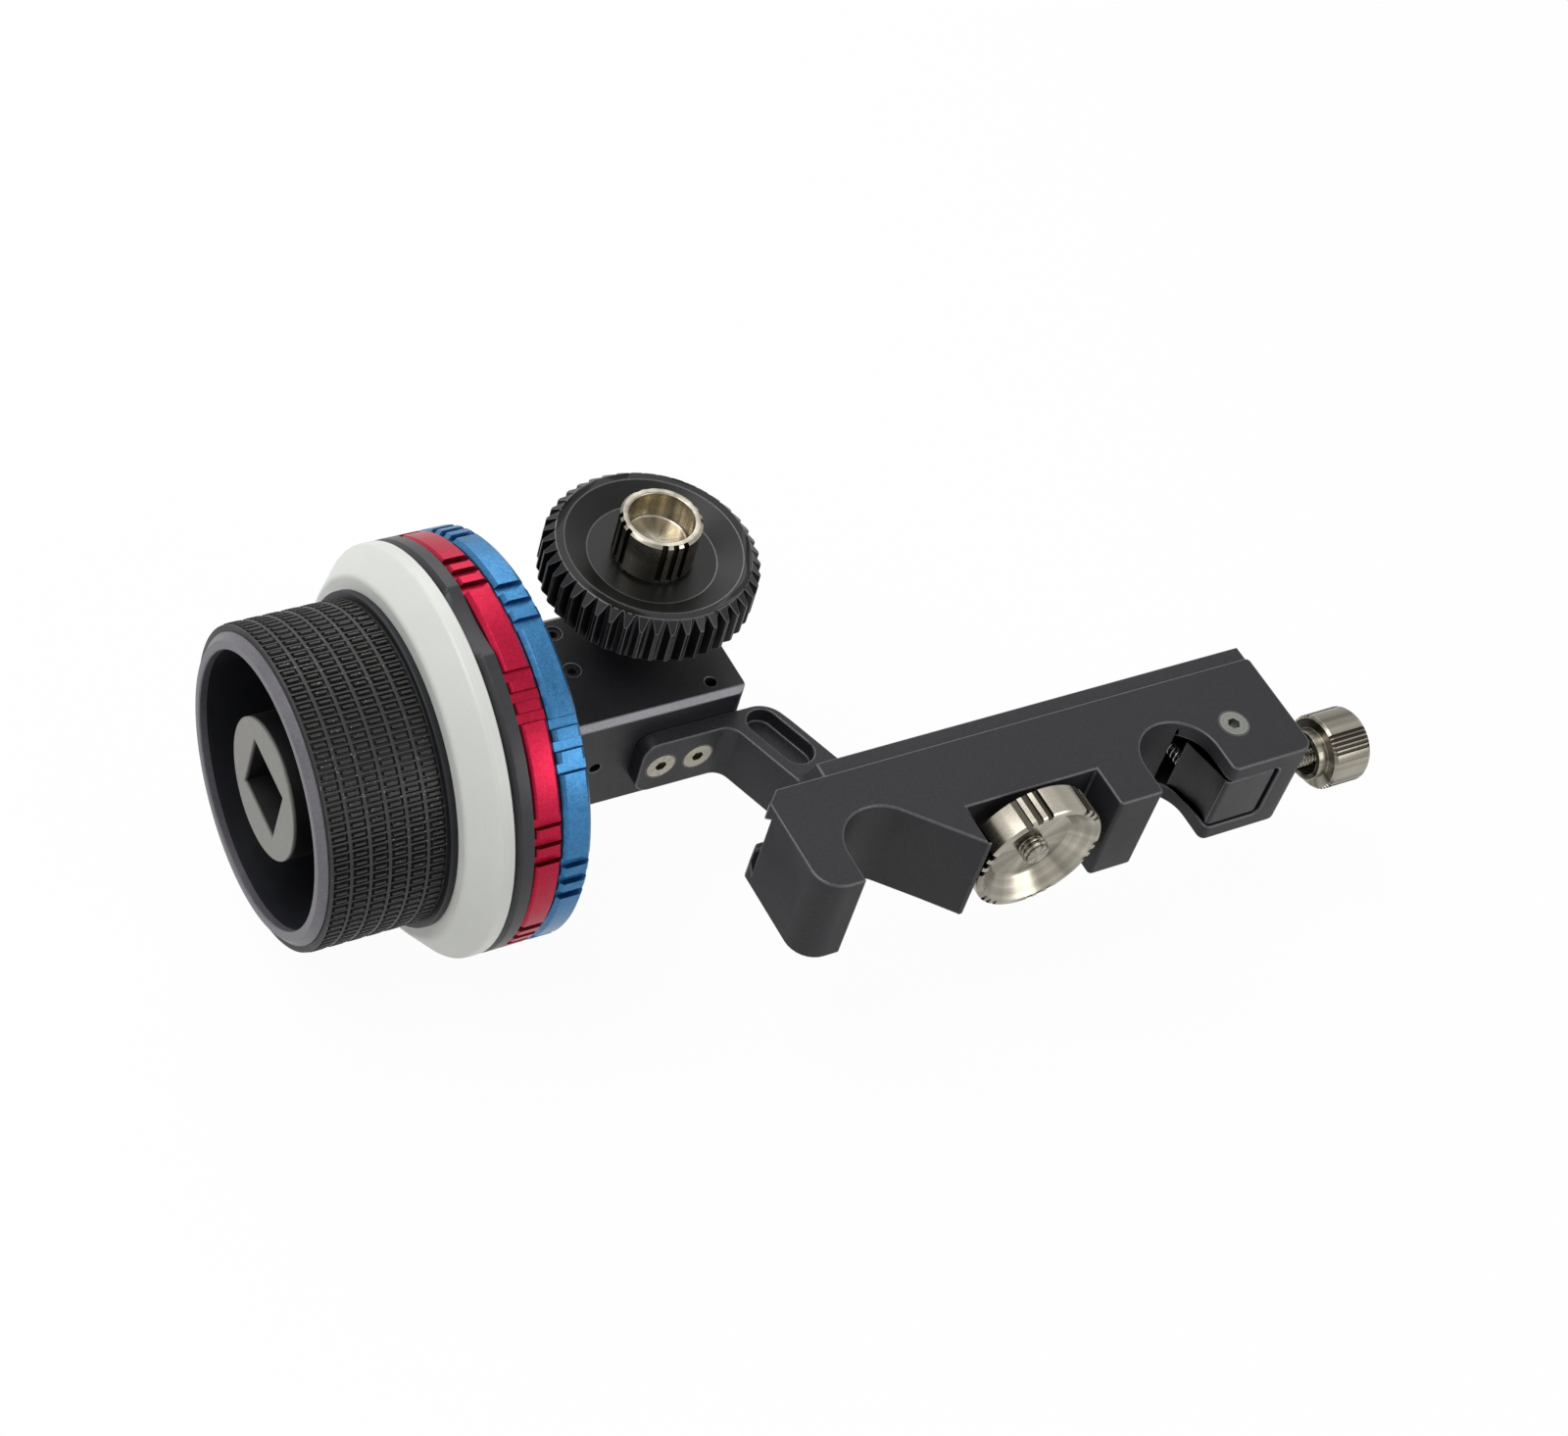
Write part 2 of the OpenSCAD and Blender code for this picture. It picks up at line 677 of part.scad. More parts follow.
module lock_wheel() {
    lip = 0.3;
    floor_y = lock_front + lock_dish;
    color(nickel_c) along_y(lock_x, 0) difference() {
        rotate_extrude() polygon([[lock_stud_r, floor_y], [lock_floor_r, floor_y],
            [lock_r - lock_rim, lock_front], [lock_r - lip, lock_front],
            [lock_r, lock_front + lip], [lock_r, lock_back - lip], [lock_r - lip, lock_back],
            [lock_stud_r, lock_back]]);
        groove_groups(lock_r, 0.6, 1.1, 6, -48, 9.6, lock_front - over, lock_back + over);
    }
}

module lock_jam_nut() {
    color(steel_c) along_y(lock_x, 0) difference() {
        translate([0, 0, lock_back]) cylinder(r = nut_af / sqrt(3), h = nut_t, $fn = 6);
        rod(lock_stud_r, lock_back - over, lock_back + nut_t + over);
    }
}

// ---------- rail and bracket ----------

module slide_rail() {
    half = rail_h / 2;
    color(black_c) difference() {
        run_along_x(-rail_left, rail_len) union() {
            translate([-half, rail_front]) square([rail_h, rail_t]);
            intersection() {
                dovetail(0);
                translate([-dove_w, 0]) square([2 * dove_w, rail_front + over]);
            }
        }
        translate([-rail_left, 0, half]) rotate([0, 45, 0])
            translate([-rail_bevel / sqrt(2), 0, -rail_h]) cube([sqrt(2) * rail_bevel,
                rail_rear + over, 2 * rail_h]);
        for (z = rail_screw_z) along_y(rail_screw_x, z) translate([0, 0, dove_front])
            csk_hole(m25_head_r, m25_r, rail_rear);
    }
}

module rail_screws() {
    color(steel_c) for (z = rail_screw_z)
        along_y(rail_screw_x, z) translate([0, 0, dove_front])
            csk_screw(m25_head_r, m25_r, rail_screw_len, 0.8);
}

module arm_outline() {
    rounded([[-plate_left, plate_y], [arm_left(plate_y), plate_y], [arm_left(rail_rear), rail_rear],
             [arm_right(rail_rear), rail_rear], [arm_right(box_y0), box_y0], [-plate_left, box_y0]],
            [0, bend_in, 0, 0, bend_out, 0]);
}

module bracket_arm() {
    corner_r = 3;
    mid_y = (rail_rear + box_y0) / 2 + 1.4;
    mid_x = (arm_left(mid_y) + arm_right(mid_y)) / 2 + 0.45;
    color(black_c) difference() {
        bar(arm_h, arm_z0) arm_outline();
        // rounds the free end of the plate
        for (side = [0, 1]) translate([-plate_left, plate_y - over, arm_z]) mirror([0, 0, side])
            rotate([-90, 0, 0]) linear_extrude(plate_t + 2 * over) difference() {
                translate([-over, arm_h / 2 - corner_r]) square([corner_r + over, corner_r + over]);
                translate([corner_r, arm_h / 2 - corner_r]) circle(r = corner_r);
            }
        // pocket in the upper side
        translate([mid_x, mid_y, arm_z1 - pocket_d]) rotate([0, 0, arm_lean])
            linear_extrude(pocket_d + over) union() {
                for (s = [-1, 1]) translate([0, s * pocket_len / 2]) circle(r = pocket_w / 2);
                square([pocket_w, pocket_len], center = true);
            }
        for (x = bracket_screw_x) along_y(x, arm_z) translate([0, 0, plate_y])
            csk_hole(m3_head_r, m3_r, plate_t + over);
        for (z = rail_screw_z) along_y(rail_screw_x, z)
            rod(m25_r, rail_rear - over, dove_front + rail_screw_len);
    }
}

module bracket_screws() {
    color(nickel_c) for (x = bracket_screw_x) along_y(x, arm_z) translate([0, 0, plate_y])
        csk_screw(m3_head_r, m3_r, plate_t + 4, 1.1);
}

// ---------- gearbox ----------

module gearbox_housing() {
    color(black_c) difference() {
        bar(box_z1 - box_z0, box_z0)
            rounded([[box_x0, box_y0], [box_x1, box_y0], [box_x1, box_y0 + box_d],
                     [box_x0, box_y0 + box_d]], [0, box_round, box_round, 0]);
        for (side = [0, 1]) translate([box_x0 - over, hand_y, box_z1]) mirror([0, side, 0])
            rotate([90, 0, 90]) linear_extrude(box_w + 2 * over)
                polygon([[box_d / 2 + over, -box_bevel - over], [box_d / 2 + over, over],
                         [box_d / 2 - box_bevel - over, over]]);
        along_x(hand_y, hand_z) {
            rod(spigot_r, box_x0 - over, cavity_end);
            rod(pilot_bush_r, cavity_end - over, pilot_bush_end);
        }
        translate([-out_x, out_y]) {
            rod(bore_out_r, box_z0 - over, box_z1 - neck_spigot + over);
            rod(cap_plug_r, box_z0 - over, box_z0 + cap_plug_t);
            rod(neck_r - 1, box_z1 - neck_spigot, box_z1 + over);
        }
        for (s = set_screws) translate([s[0], hand_y + s[1]]) rod(set_screw_r, box_z1 - 3, box_z1 + over);
        for (x = bracket_screw_x) along_y(x, arm_z) rod(m3_r, box_y0 - over, box_y0 + 4.6);
        // tapped holes for accessories
        translate([box_x1 - 5.7, box_y0 + 3.2]) rod(accessory_r, box_z1 - 4.5, box_z1 + over);
        along_y(accessory_x, accessory_z) rod(accessory_r, box_y0 - over, box_y0 + 4.5);
    }
}

module gearbox_set_screws() {
    color(steel_c) for (s = set_screws) translate([s[0], hand_y + s[1], box_z1 - 3]) difference() {
        cylinder(r = set_screw_r, h = 2.6);
        translate([0, 0, 1.2]) cylinder(r = 0.85, h = 2, $fn = 6);
    }
}

module output_neck() {
    color(black_c) translate([-out_x, out_y]) difference() {
        union() {
            rod(neck_r, box_z1, neck_top);
            rod(neck_r - 1, box_z1 - neck_spigot, box_z1 + over);
        }
        rod(out_shaft_r + bush_wall, box_z1 - neck_spigot - over, gear_z0);
    }
}

module bottom_cap() {
    color(black_c) translate([-out_x, out_y]) difference() {
        rod(cap_plug_r, box_z0, box_z0 + cap_plug_t);
        rod(pilot_bush_r, box_z0 + 0.8, box_z0 + cap_plug_t + over);
        for (s = [-1, 1]) translate([s * (cap_plug_r - 1.4), 0])
            rod(0.6, box_z0 - over, box_z0 + 0.7);
    }
}

// ---------- rings ----------

module ring_hub() {
    disc_x = box_x0 - hub_face;
    color(black_c) along_x(hand_y, hand_z) difference() {
        rotate_extrude() polygon([
            [bush_a_r, spigot_end], [spigot_r, spigot_end], [spigot_r, box_x0],
            [hub_flange_r, box_x0], [hub_flange_r, box_x0 - 0.75], [hub_r, box_x0 - 0.75],
            [hub_r, index_x1], [hub_r - hub_wall, index_x1], [hub_r - hub_wall, disc_x],
            [nose_r, disc_x], [nose_r, index_x1], [bush_a_r, index_x1]]);
        for (x = oring_x) rotate_extrude()
            translate([hub_r - oring_d, x - oring_w / 2]) square([oring_d + over, oring_w]);
        for (k = [0:2]) rotate([0, 0, 120 * k]) translate([index_screw_at, 0])
            rod(m25_r, index_x1 - over, index_x1 + screw_grip + 0.2);
    }
}

module ring_orings() {
    color(rubber_c) along_x(hand_y, hand_z) for (x = oring_x)
        rotate_extrude() translate([hub_r - oring_r, x]) circle(r = oring_r, $fn = 24);
}

module index_ring() {
    front_bevel = 1;
    color(black_c) along_x(hand_y, hand_z) difference() {
        rotate_extrude() polygon([
            [nose_r + 1, index_x0], [disc_r - front_bevel, index_x0],
            [disc_r, index_x0 + front_bevel], [disc_r, index_x1], [nose_r + 1, index_x1]]);
        for (k = [0:2]) rotate([0, 0, 120 * k]) translate([index_screw_at, 0, index_x0])
            csk_hole(m25_head_r, m25_r, index_len + over);
        rotate([0, 0, scoop_turn]) translate([disc_r - scoop_d + scoop_r, 0])
            rod(scoop_r, index_x0 - over, index_x1 + over);
    }
}

module index_ring_screws() {
    color(steel_c) along_x(hand_y, hand_z) for (k = [0:2])
        rotate([0, 0, 120 * k]) translate([index_screw_at, 0, index_x0])
            csk_screw(m25_head_r, m25_r, index_len + screw_grip, 0.8);
}

module stop_ring(x0, x1, first, step) {
    bore = hub_r + ring_fit;
    along_x(hand_y, hand_z) difference() {
        rotate_extrude() polygon([
            [bore, x0], [disc_r - ring_bevel, x0], [disc_r, x0 + ring_bevel],
            [disc_r, x1 - ring_bevel], [disc_r - ring_bevel, x1], [bore, x1]]);
        groove_groups(disc_r, ring_groove_d, ring_groove_w, ring_groups, first, step,
                      x0 - over, x1 + over);
    }
}

module stop_ring_red() {
    color([0.77, 0.09, 0.24]) stop_ring(red_x0, red_x1, -111, 5.7);
}

module stop_ring_blue() {
    color([0.29, 0.56, 0.8]) stop_ring(blue_x0, blue_x1, -96, 6);
}

// ---------- shafts, gears and bushes ----------

module input_bushes() {
    color(bronze_c) along_x(hand_y, hand_z) {
        tube(bush_a_r, shaft_r + run_gap, index_x1, index_x1 + bush_len);
        tube(bush_a_r, shaft_r + run_gap, spigot_end - bush_len, spigot_end);
        tube(pilot_bush_r, pilot_r + run_gap, cavity_end, pilot_bush_end);
    }
}

module output_bushes() {
    color(bronze_c) translate([-out_x, out_y]) {
        for (z = [neck_top - bush_len, box_z1 - neck_spigot])
            tube(out_shaft_r + bush_wall, out_shaft_r + run_gap, z, z + bush_len);
        tube(pilot_bush_r, pilot_r + run_gap, box_z0 + 0.8, box_z0 + cap_plug_t);
    }
}

// Both crossed gears have the same teeth, cut at 45 degrees, so the shafts turn one to one.
module crossed_gear() {
    n = pinion_teeth;
    root = pinion_r - 0.7;
    twist = 360 * pinion_len / (2 * PI * (pinion_r + root) / 2);
    difference() {
        translate([0, 0, -pinion_len / 2])
            linear_extrude(pinion_len, twist = -twist, slices = 10, segments = 0)
            polygon([for (i = [0:n - 1], k = [0:3])
                let (a = 360 / n * (i + [-0.32, -0.12, 0.12, 0.32][k]), r = k % 3 == 0 ? root : pinion_r)
                    r * [cos(a), sin(a)]]);
        rod(pilot_r, -pinion_len, pinion_len);
    }
}

module input_gear() {
    color(steel_c) along_x(hand_y, hand_z) translate([0, 0, -out_x]) crossed_gear();
}

module output_gear() {
    color(bronze_c) translate([-out_x, out_y, hand_z]) rotate([0, 0, 180 / pinion_teeth])
        crossed_gear();
}

module input_shaft() {
    color(steel_c) along_x(hand_y, hand_z) difference() {
        union() {
            rod(shaft_r, cup_x, spigot_end + 2);
            rod(pilot_r, spigot_end, pilot_bush_end - 0.3);
        }
        rod(screw_hole_r, cup_x - over, cup_x + 9);
    }
}

module output_shaft() {
    color(steel_c) translate([-out_x, out_y]) union() {
        rod(out_shaft_r, out_step, shaft_top);
        rod(pilot_r, box_z0 + 1.1, out_step + over);
    }
}

// ---------- lens gear ----------

module tooth_outline() {
    n = gear_teeth;
    polygon([for (i = [0:n - 1], k = [0:5])
        let (a = 360 / n * (i + [-0.4, -0.25, -0.12, 0.12, 0.25, 0.4][k]),
             r = [root_r, pitch_r, tip_r, tip_r, pitch_r, root_r][k])
            r * [cos(a), sin(a)]]);
}

module drive_gear() {
    ease = tip_r - root_r;
    color(black_c) translate([-out_x, out_y]) difference() {
        intersection() {
            bar(gear_t, gear_z0) tooth_outline();
            rotate_extrude() polygon([[0, gear_z0], [root_r, gear_z0], [tip_r + over, gear_z0 + ease + over],
                [tip_r + over, gear_z1 - ease - over], [root_r, gear_z1], [0, gear_z1]]);
        }
        rotate_extrude() polygon([[0, dish_z], [dish_floor_r, dish_z], [dish_r, gear_z1],
            [dish_r, gear_z1 + over], [0, gear_z1 + over]]);
        rod(out_shaft_r, gear_z0 - over, gear_z1);
    }
}

module gear_washer() {
    color(steel_c) translate([-out_x, out_y])
        tube(washer_r, out_shaft_r + run_gap, dish_z, dish_z + washer_t);
}

module gear_cap() {
    lip = 0.45;
    color(nickel_c) translate([-out_x, out_y]) difference() {
        rotate_extrude() polygon([[0, cap_z0], [cap_r, cap_z0], [cap_r, cap_z1 - lip],
            [cap_r - lip, cap_z1], [0, cap_z1]]);
        rod(cap_bore_r, cap_z1 - cap_bore_d, cap_z1 + over);
        rod(out_shaft_r + run_gap, cap_z0 - over, shaft_top + 0.2);
        groove_groups(cap_r, 0.5, 0.95, 4, -96, 16, cap_z0 - over, cap_z1 + over);
    }
}

// ---------- handwheel ----------

module handwheel_core() {
    color(black_c) along_x(hand_y, hand_z) difference() {
        rotate_extrude() polygon([
            [shaft_r, cup_x], [cup_r, cup_x], [cup_r, drum_x0], [drum_r, drum_x0],
            [drum_r, flange_x0], [flange_r, flange_x0], [flange_r, drum_x1],
            [rear_boss_r, drum_x1], [rear_boss_r, disc_x1], [shaft_r, disc_x1]]);
        for (k = [0:2]) rotate([0, 0, 120 * k]) translate([disc_screw_r, 0])
            rod(m25_r, drum_x1 - screw_grip - 0.5, drum_x1 + over);
    }
}

module rim_ring() {
    color(rim_c) along_x(hand_y, hand_z) rotate_extrude() polygon([
        [cup_r, rim_x0], [cup_r + rim_face, rim_x0], [drum_r + 0.1, drum_x0 - 0.2],
        [drum_r + 0.1, drum_x0], [cup_r, drum_x0]]);
}

module rubber_grip() {
    pitch = (flange_x0 - drum_x0) / grip_rows;
    groove = 0.25;
    floor_r = grip_r - 0.5;
    color(rubber_c) along_x(hand_y, hand_z) rotate_extrude() polygon(concat(
        [[drum_r, drum_x0]],
        [for (i = [0:grip_rows - 1], k = [0:3])
            [k % 3 == 0 ? floor_r : grip_r,
             drum_x0 + i * pitch + [0, groove, pitch - groove, pitch][k]]],
        [[drum_r, flange_x0]]));
}

module socket_boss() {
    color(rim_c) along_x(hand_y, hand_z) difference() {
        rod(boss_r, boss_x0, cup_x);
        rotate([0, 0, socket_turn]) translate([-socket_w / 2, -socket_w / 2, boss_x0 - over])
            cube([socket_w, socket_w, cup_x - boss_floor - boss_x0 + over]);
        rod(screw_hole_r, boss_x0, cup_x + over);
    }
}

module socket_screw() {
    head_r = 3.5;
    head_t = 3;
    color(steel_c) along_x(hand_y, hand_z) difference() {
        union() {
            rod(head_r, cup_x - boss_floor - head_t, cup_x - boss_floor);
            rod(screw_hole_r, cup_x - boss_floor - over, cup_x + 8);
        }
        translate([0, 0, cup_x - boss_floor - head_t - over]) cylinder(r = 1.7, h = over + 2, $fn = 6);
    }
}

module marking_disc() {
    color([0.88, 0.89, 0.87]) along_x(hand_y, hand_z) difference() {
        rotate_extrude() polygon([
            [rear_boss_r, disc_x0], [disc_in_r, disc_x0], [disc_r - 0.3, disc_x1 - disc_edge - 0.3],
            [disc_r, disc_x1 - disc_edge], [disc_r, disc_x1 - 0.2], [disc_r - 0.2, disc_x1],
            [rear_boss_r, disc_x1]]);
        for (k = [0:2]) rotate([0, 0, 120 * k]) translate([disc_screw_r, 0, disc_x1])
            mirror([0, 0, 1]) csk_hole(m25_head_r, m25_r, disc_t + over);
    }
}

module marking_disc_screws() {
    color(steel_c) along_x(hand_y, hand_z) for (k = [0:2])
        rotate([0, 0, 120 * k]) translate([disc_screw_r, 0, disc_x1]) mirror([0, 0, 1])
            csk_screw(m25_head_r, m25_r, disc_t + screw_grip, 0.8);
}

clamp_block();
jaw_pivot_screw();
clamp_jaw();
jaw_spring();
jaw_screw_pad();
jaw_screw_stud();
jaw_screw_knob();
lock_shoe();
lock_stud();
lock_wheel();
lock_jam_nut();
slide_rail();
rail_screws();
bracket_arm();
bracket_screws();
gearbox_housing();
gearbox_set_screws();
ring_hub();
ring_orings();
index_ring();
index_ring_screws();
stop_ring_red();
stop_ring_blue();
input_bushes();
output_bushes();
output_neck();
bottom_cap();
input_shaft();
input_gear();
handwheel_core();
rim_ring();
rubber_grip();
socket_boss();
socket_screw();
marking_disc();
marking_disc_screws();
output_shaft();
output_gear();
drive_gear();
gear_washer();
gear_cap();
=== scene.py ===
import bpy
import bmesh
import math
import numpy as np
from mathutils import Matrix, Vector


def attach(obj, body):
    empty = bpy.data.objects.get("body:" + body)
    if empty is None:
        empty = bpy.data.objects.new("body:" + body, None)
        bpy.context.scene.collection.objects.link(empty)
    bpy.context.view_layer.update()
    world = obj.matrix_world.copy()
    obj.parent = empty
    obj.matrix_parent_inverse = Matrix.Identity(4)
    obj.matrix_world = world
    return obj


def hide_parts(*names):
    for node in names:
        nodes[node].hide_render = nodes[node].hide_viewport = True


# Follow focus unit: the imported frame, dressed for a picture.
# Lengths in the dictionaries are millimetres, as in the CAD, and meshes are in metres. Looks have colours
# as in a picture editor, noise scales per metre, and rough as a pair of roughness values.

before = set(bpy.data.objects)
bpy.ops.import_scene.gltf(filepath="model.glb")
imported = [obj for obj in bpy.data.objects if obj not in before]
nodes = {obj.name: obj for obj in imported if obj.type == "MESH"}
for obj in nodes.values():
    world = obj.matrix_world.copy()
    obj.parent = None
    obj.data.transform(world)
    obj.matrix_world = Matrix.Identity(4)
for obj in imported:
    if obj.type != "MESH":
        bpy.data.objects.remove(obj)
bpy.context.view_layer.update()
print("stage: frame loaded,", len(nodes), "nodes")

mm = 0.001
tau = 2 * math.pi
weldDistance = 1e-7             # in metres: points closer than this are made one
unlimited = 1e9                 # a limit that no radius reaches
axisRadius = 0.001              # the radius of a profile's points on its axis
edgeAngle = 28                  # copied CAD nodes: sharper edges than this many degrees are bevelled


def unitRow(v):
    # each row of v divided by its own length
    return v / np.linalg.norm(v, axis=-1, keepdims=True)


def easedLoop(corners, steps=5):
    # A closed outline through the corners (along, radius, rounding). A corner with a rounding becomes an
    # arc: its centre lies on the bisector at rounding / sin(half angle), and it ends at
    # rounding / tan(half angle) along both sides.
    p = np.array([c[:2] for c in corners], float)
    toLast = unitRow(np.roll(p, 1, 0) - p)
    toNext = unitRow(np.roll(p, -1, 0) - p)
    half = np.arccos(np.clip((toLast * toNext).sum(1), -1, 1)) / 2
    out = []
    for i, (_, _, rounding) in enumerate(corners):
        if rounding <= 0:
            out.append(p[i:i + 1])
            continue
        centre = p[i] + unitRow(toLast[i] + toNext[i]) * rounding / math.sin(half[i])
        a = p[i] + toLast[i] * rounding / math.tan(half[i]) - centre
        b = p[i] + toNext[i] * rounding / math.tan(half[i]) - centre
        t = np.linspace(0, 1, steps + 1)[:, None]
        out.append(centre + unitRow(a * (1 - t) + b * t) * rounding)
    return np.vstack(out)


def gridQuads(rows, cols, closeRows, closeCols):
    # Point (i, j) has the number i * cols + j, and each quad joins it to row i + 1 and column j + 1.
    i = np.arange(rows if closeRows else rows - 1)[:, None]
    j = np.arange(cols if closeCols else cols - 1)[None, :]
    a = i * cols + j
    b = ((i + 1) % rows) * cols + j
    c = ((i + 1) % rows) * cols + (j + 1) % cols
    d = i * cols + (j + 1) % cols
    return np.stack([a, b, c, d], -1).reshape(-1, 4)


def signedVolume(v, quads):
    # a sixth of the sum of the triple products of each triangle's corners
    tri = np.vstack([quads[:, [0, 1, 2]], quads[:, [0, 2, 3]]])
    a, b, c = v[tri[:, 0]], v[tri[:, 1]], v[tri[:, 2]]
    return (a * np.cross(b, c)).sum() / 6


def meshFrom(name, v, quads, sharp=35, marks=None):
    # v is in metres, and marks are the faces' material numbers. Faces are turned outwards by the sign of
    # the volume.
    if signedVolume(v, quads) < 0:
        quads = quads[:, ::-1]
    mesh = bpy.data.meshes.new(name)
    mesh.vertices.add(len(v))
    mesh.vertices.foreach_set("co", v.astype(np.float32).ravel())
    mesh.loops.add(quads.size)
    mesh.loops.foreach_set("vertex_index", quads.astype(np.int32).ravel())
    mesh.polygons.add(len(quads))
    mesh.polygons.foreach_set("loop_start", np.arange(0, quads.size, 4, dtype=np.int32))
    mesh.update(calc_edges=True)
    if marks is not None:
        mesh.polygons.foreach_set("material_index", marks.astype(np.int32))
    finishMesh(mesh, sharp)
    return mesh


def finishMesh(mesh, sharp):
    # Merges doubles and shades smooth, with edges sharper than the given angle kept hard.
    bm = bmesh.new()
    bm.from_mesh(mesh)
    bmesh.ops.remove_doubles(bm, verts=bm.verts, dist=weldDistance)
    bmesh.ops.dissolve_degenerate(bm, edges=bm.edges, dist=weldDistance)
    bm.to_mesh(mesh)
    bm.free()
    mesh.polygons.foreach_set("use_smooth", np.ones(len(mesh.polygons), bool))
    mesh.set_sharp_from_angle(angle=math.radians(sharp))
    mesh.update()


def addObject(name, data):
    made = bpy.data.objects.new(name, data)
    bpy.context.scene.collection.objects.link(made)
    return made


def addPiece(name, mesh, body, materials, standsFor):
    # Puts a mesh into the scene as a piece that rides a body, takes its finish from a slot, and stands
    # for one CAD node.
    piece = addObject(name, mesh)
    marks = np.zeros(len(mesh.polygons), np.int32)
    mesh.polygons.foreach_get("material_index", marks)
    mesh.materials.clear()
    for material in materials:
        mesh.materials.append(material)
    mesh.polygons.foreach_set("material_index", marks)  # clearing the list had set them all to the first
    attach(piece, body)
    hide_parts(standsFor)
    return piece


def axisFrame(about):
    # An axis' direction, the two directions from which angles are counted, as the CAD turns its
    # cylinders, and the point on the axis.
    kind, centre = about
    ways = {"x": ((1, 0, 0), (0, 0, -1), (0, 1, 0)),
            "y": ((0, 1, 0), (1, 0, 0), (0, 0, -1)),
            "z": ((0, 0, 1), (1, 0, 0), (0, 1, 0))}
    return [np.array(w, float) for w in ways[kind]] + [np.array(centre, float)]


def grooved(s, soft=0.05):
    # Grooves along the axis, in groups round the circle, each with side grooves beside its middle one.
    # Gives the angles where the grid needs lines, and the limit (radius - depth) / cos(turn from the
    # groove) inside each groove.
    side = s.get("side", 1)
    places = [s["first"] + g * 360 / s["groups"] + k * s["step"]
              for g in range(s["groups"]) for k in range(-side, side + 1)]
    foot = math.asin((s["grooveWidth"] / 2 - soft) / s["radius"])
    lip = math.asin((s["grooveWidth"] / 2 + soft) / s["radius"])
    at = np.radians(np.asarray(places, float))

    def limit(angles):
        turn = np.abs((angles[:, None] - at[None, :] + math.pi) % tau - math.pi).min(1)
        floor = (s["radius"] - s["grooveDepth"]) / np.cos(np.minimum(turn, lip))
        return np.where(turn < (foot + lip) / 2, floor, unlimited)

    return np.concatenate([at - lip, at - foot, at + foot, at + lip]), limit


def scooped(s, lines=41):
    # A scoop across the edge: the limit is where a ray from the axis meets the scoop's circle, at
    # D cos(turn) - sqrt(scoopRadius^2 - D^2 sin(turn)^2), with D its centre's distance from the axis.
    # Half its angle follows from the triangle with the sides D, radius and scoopRadius.
    outer, radius = s["radius"], s["scoopRadius"]
    far = outer - s["scoopDepth"] + radius
    at = math.radians(s["scoopAt"])
    half = math.acos((far * far + outer * outer - radius * radius) / (2 * far * outer))

    def limit(angles):
        turn = (angles - at + math.pi) % tau - math.pi
        root = np.sqrt(np.maximum(radius ** 2 - (far * np.sin(turn)) ** 2, 0))
        return np.where(np.abs(turn) < 2 * half, far * np.cos(turn) - root, unlimited)

    return at + np.linspace(-half, half, lines), limit


def turnedPiece(name, profile, about, body, materials, standsFor, count=256, cut=None,
                bore=0, floors=True, slack=0.02):
    # A closed profile (along, radius) turned about an axis: point (a, k) lies along[k] up the axis and
    # min(radius[k], limit(a)) away from it, in the direction u cos a + v sin a. Faces in grooves take the
    # second material, a darker tone that paints the shade in the grooves (their walls only, where floors
    # is off), and faces at the distance bore from the axis take the third. A point more than slack under
    # the profile is in a groove.
    axis, u, v, at = axisFrame(about)
    lines, limit = cut if cut else (np.zeros(0), lambda a: np.full(len(a), unlimited))
    angles = np.unique(np.round(np.concatenate([np.arange(count) * tau / count, lines]) % tau, 6))
    along, radius = np.asarray(profile, float).T
    r = np.minimum(radius[None, :], limit(angles)[:, None])
    ring = np.cos(angles)[:, None, None] * u + np.sin(angles)[:, None, None] * v
    points = at + along[None, :, None] * axis + r[:, :, None] * ring
    quads = gridQuads(len(angles), len(along), True, True)
    lowered = (r < radius[None, :] - slack).ravel()[quads].sum(1)
    inGroove = (lowered >= 2) & ((lowered < 4) | floors)
    inBore = (np.abs(r - bore) < slack).ravel()[quads].all(1)
    marks = np.where(inBore, 2, np.where(inGroove, 1, 0))
    marks = np.minimum(marks, len(materials) - 1)
    mesh = meshFrom(name, points.reshape(-1, 3) * mm, quads, marks=marks)
    return addPiece(name, mesh, body, materials, standsFor)


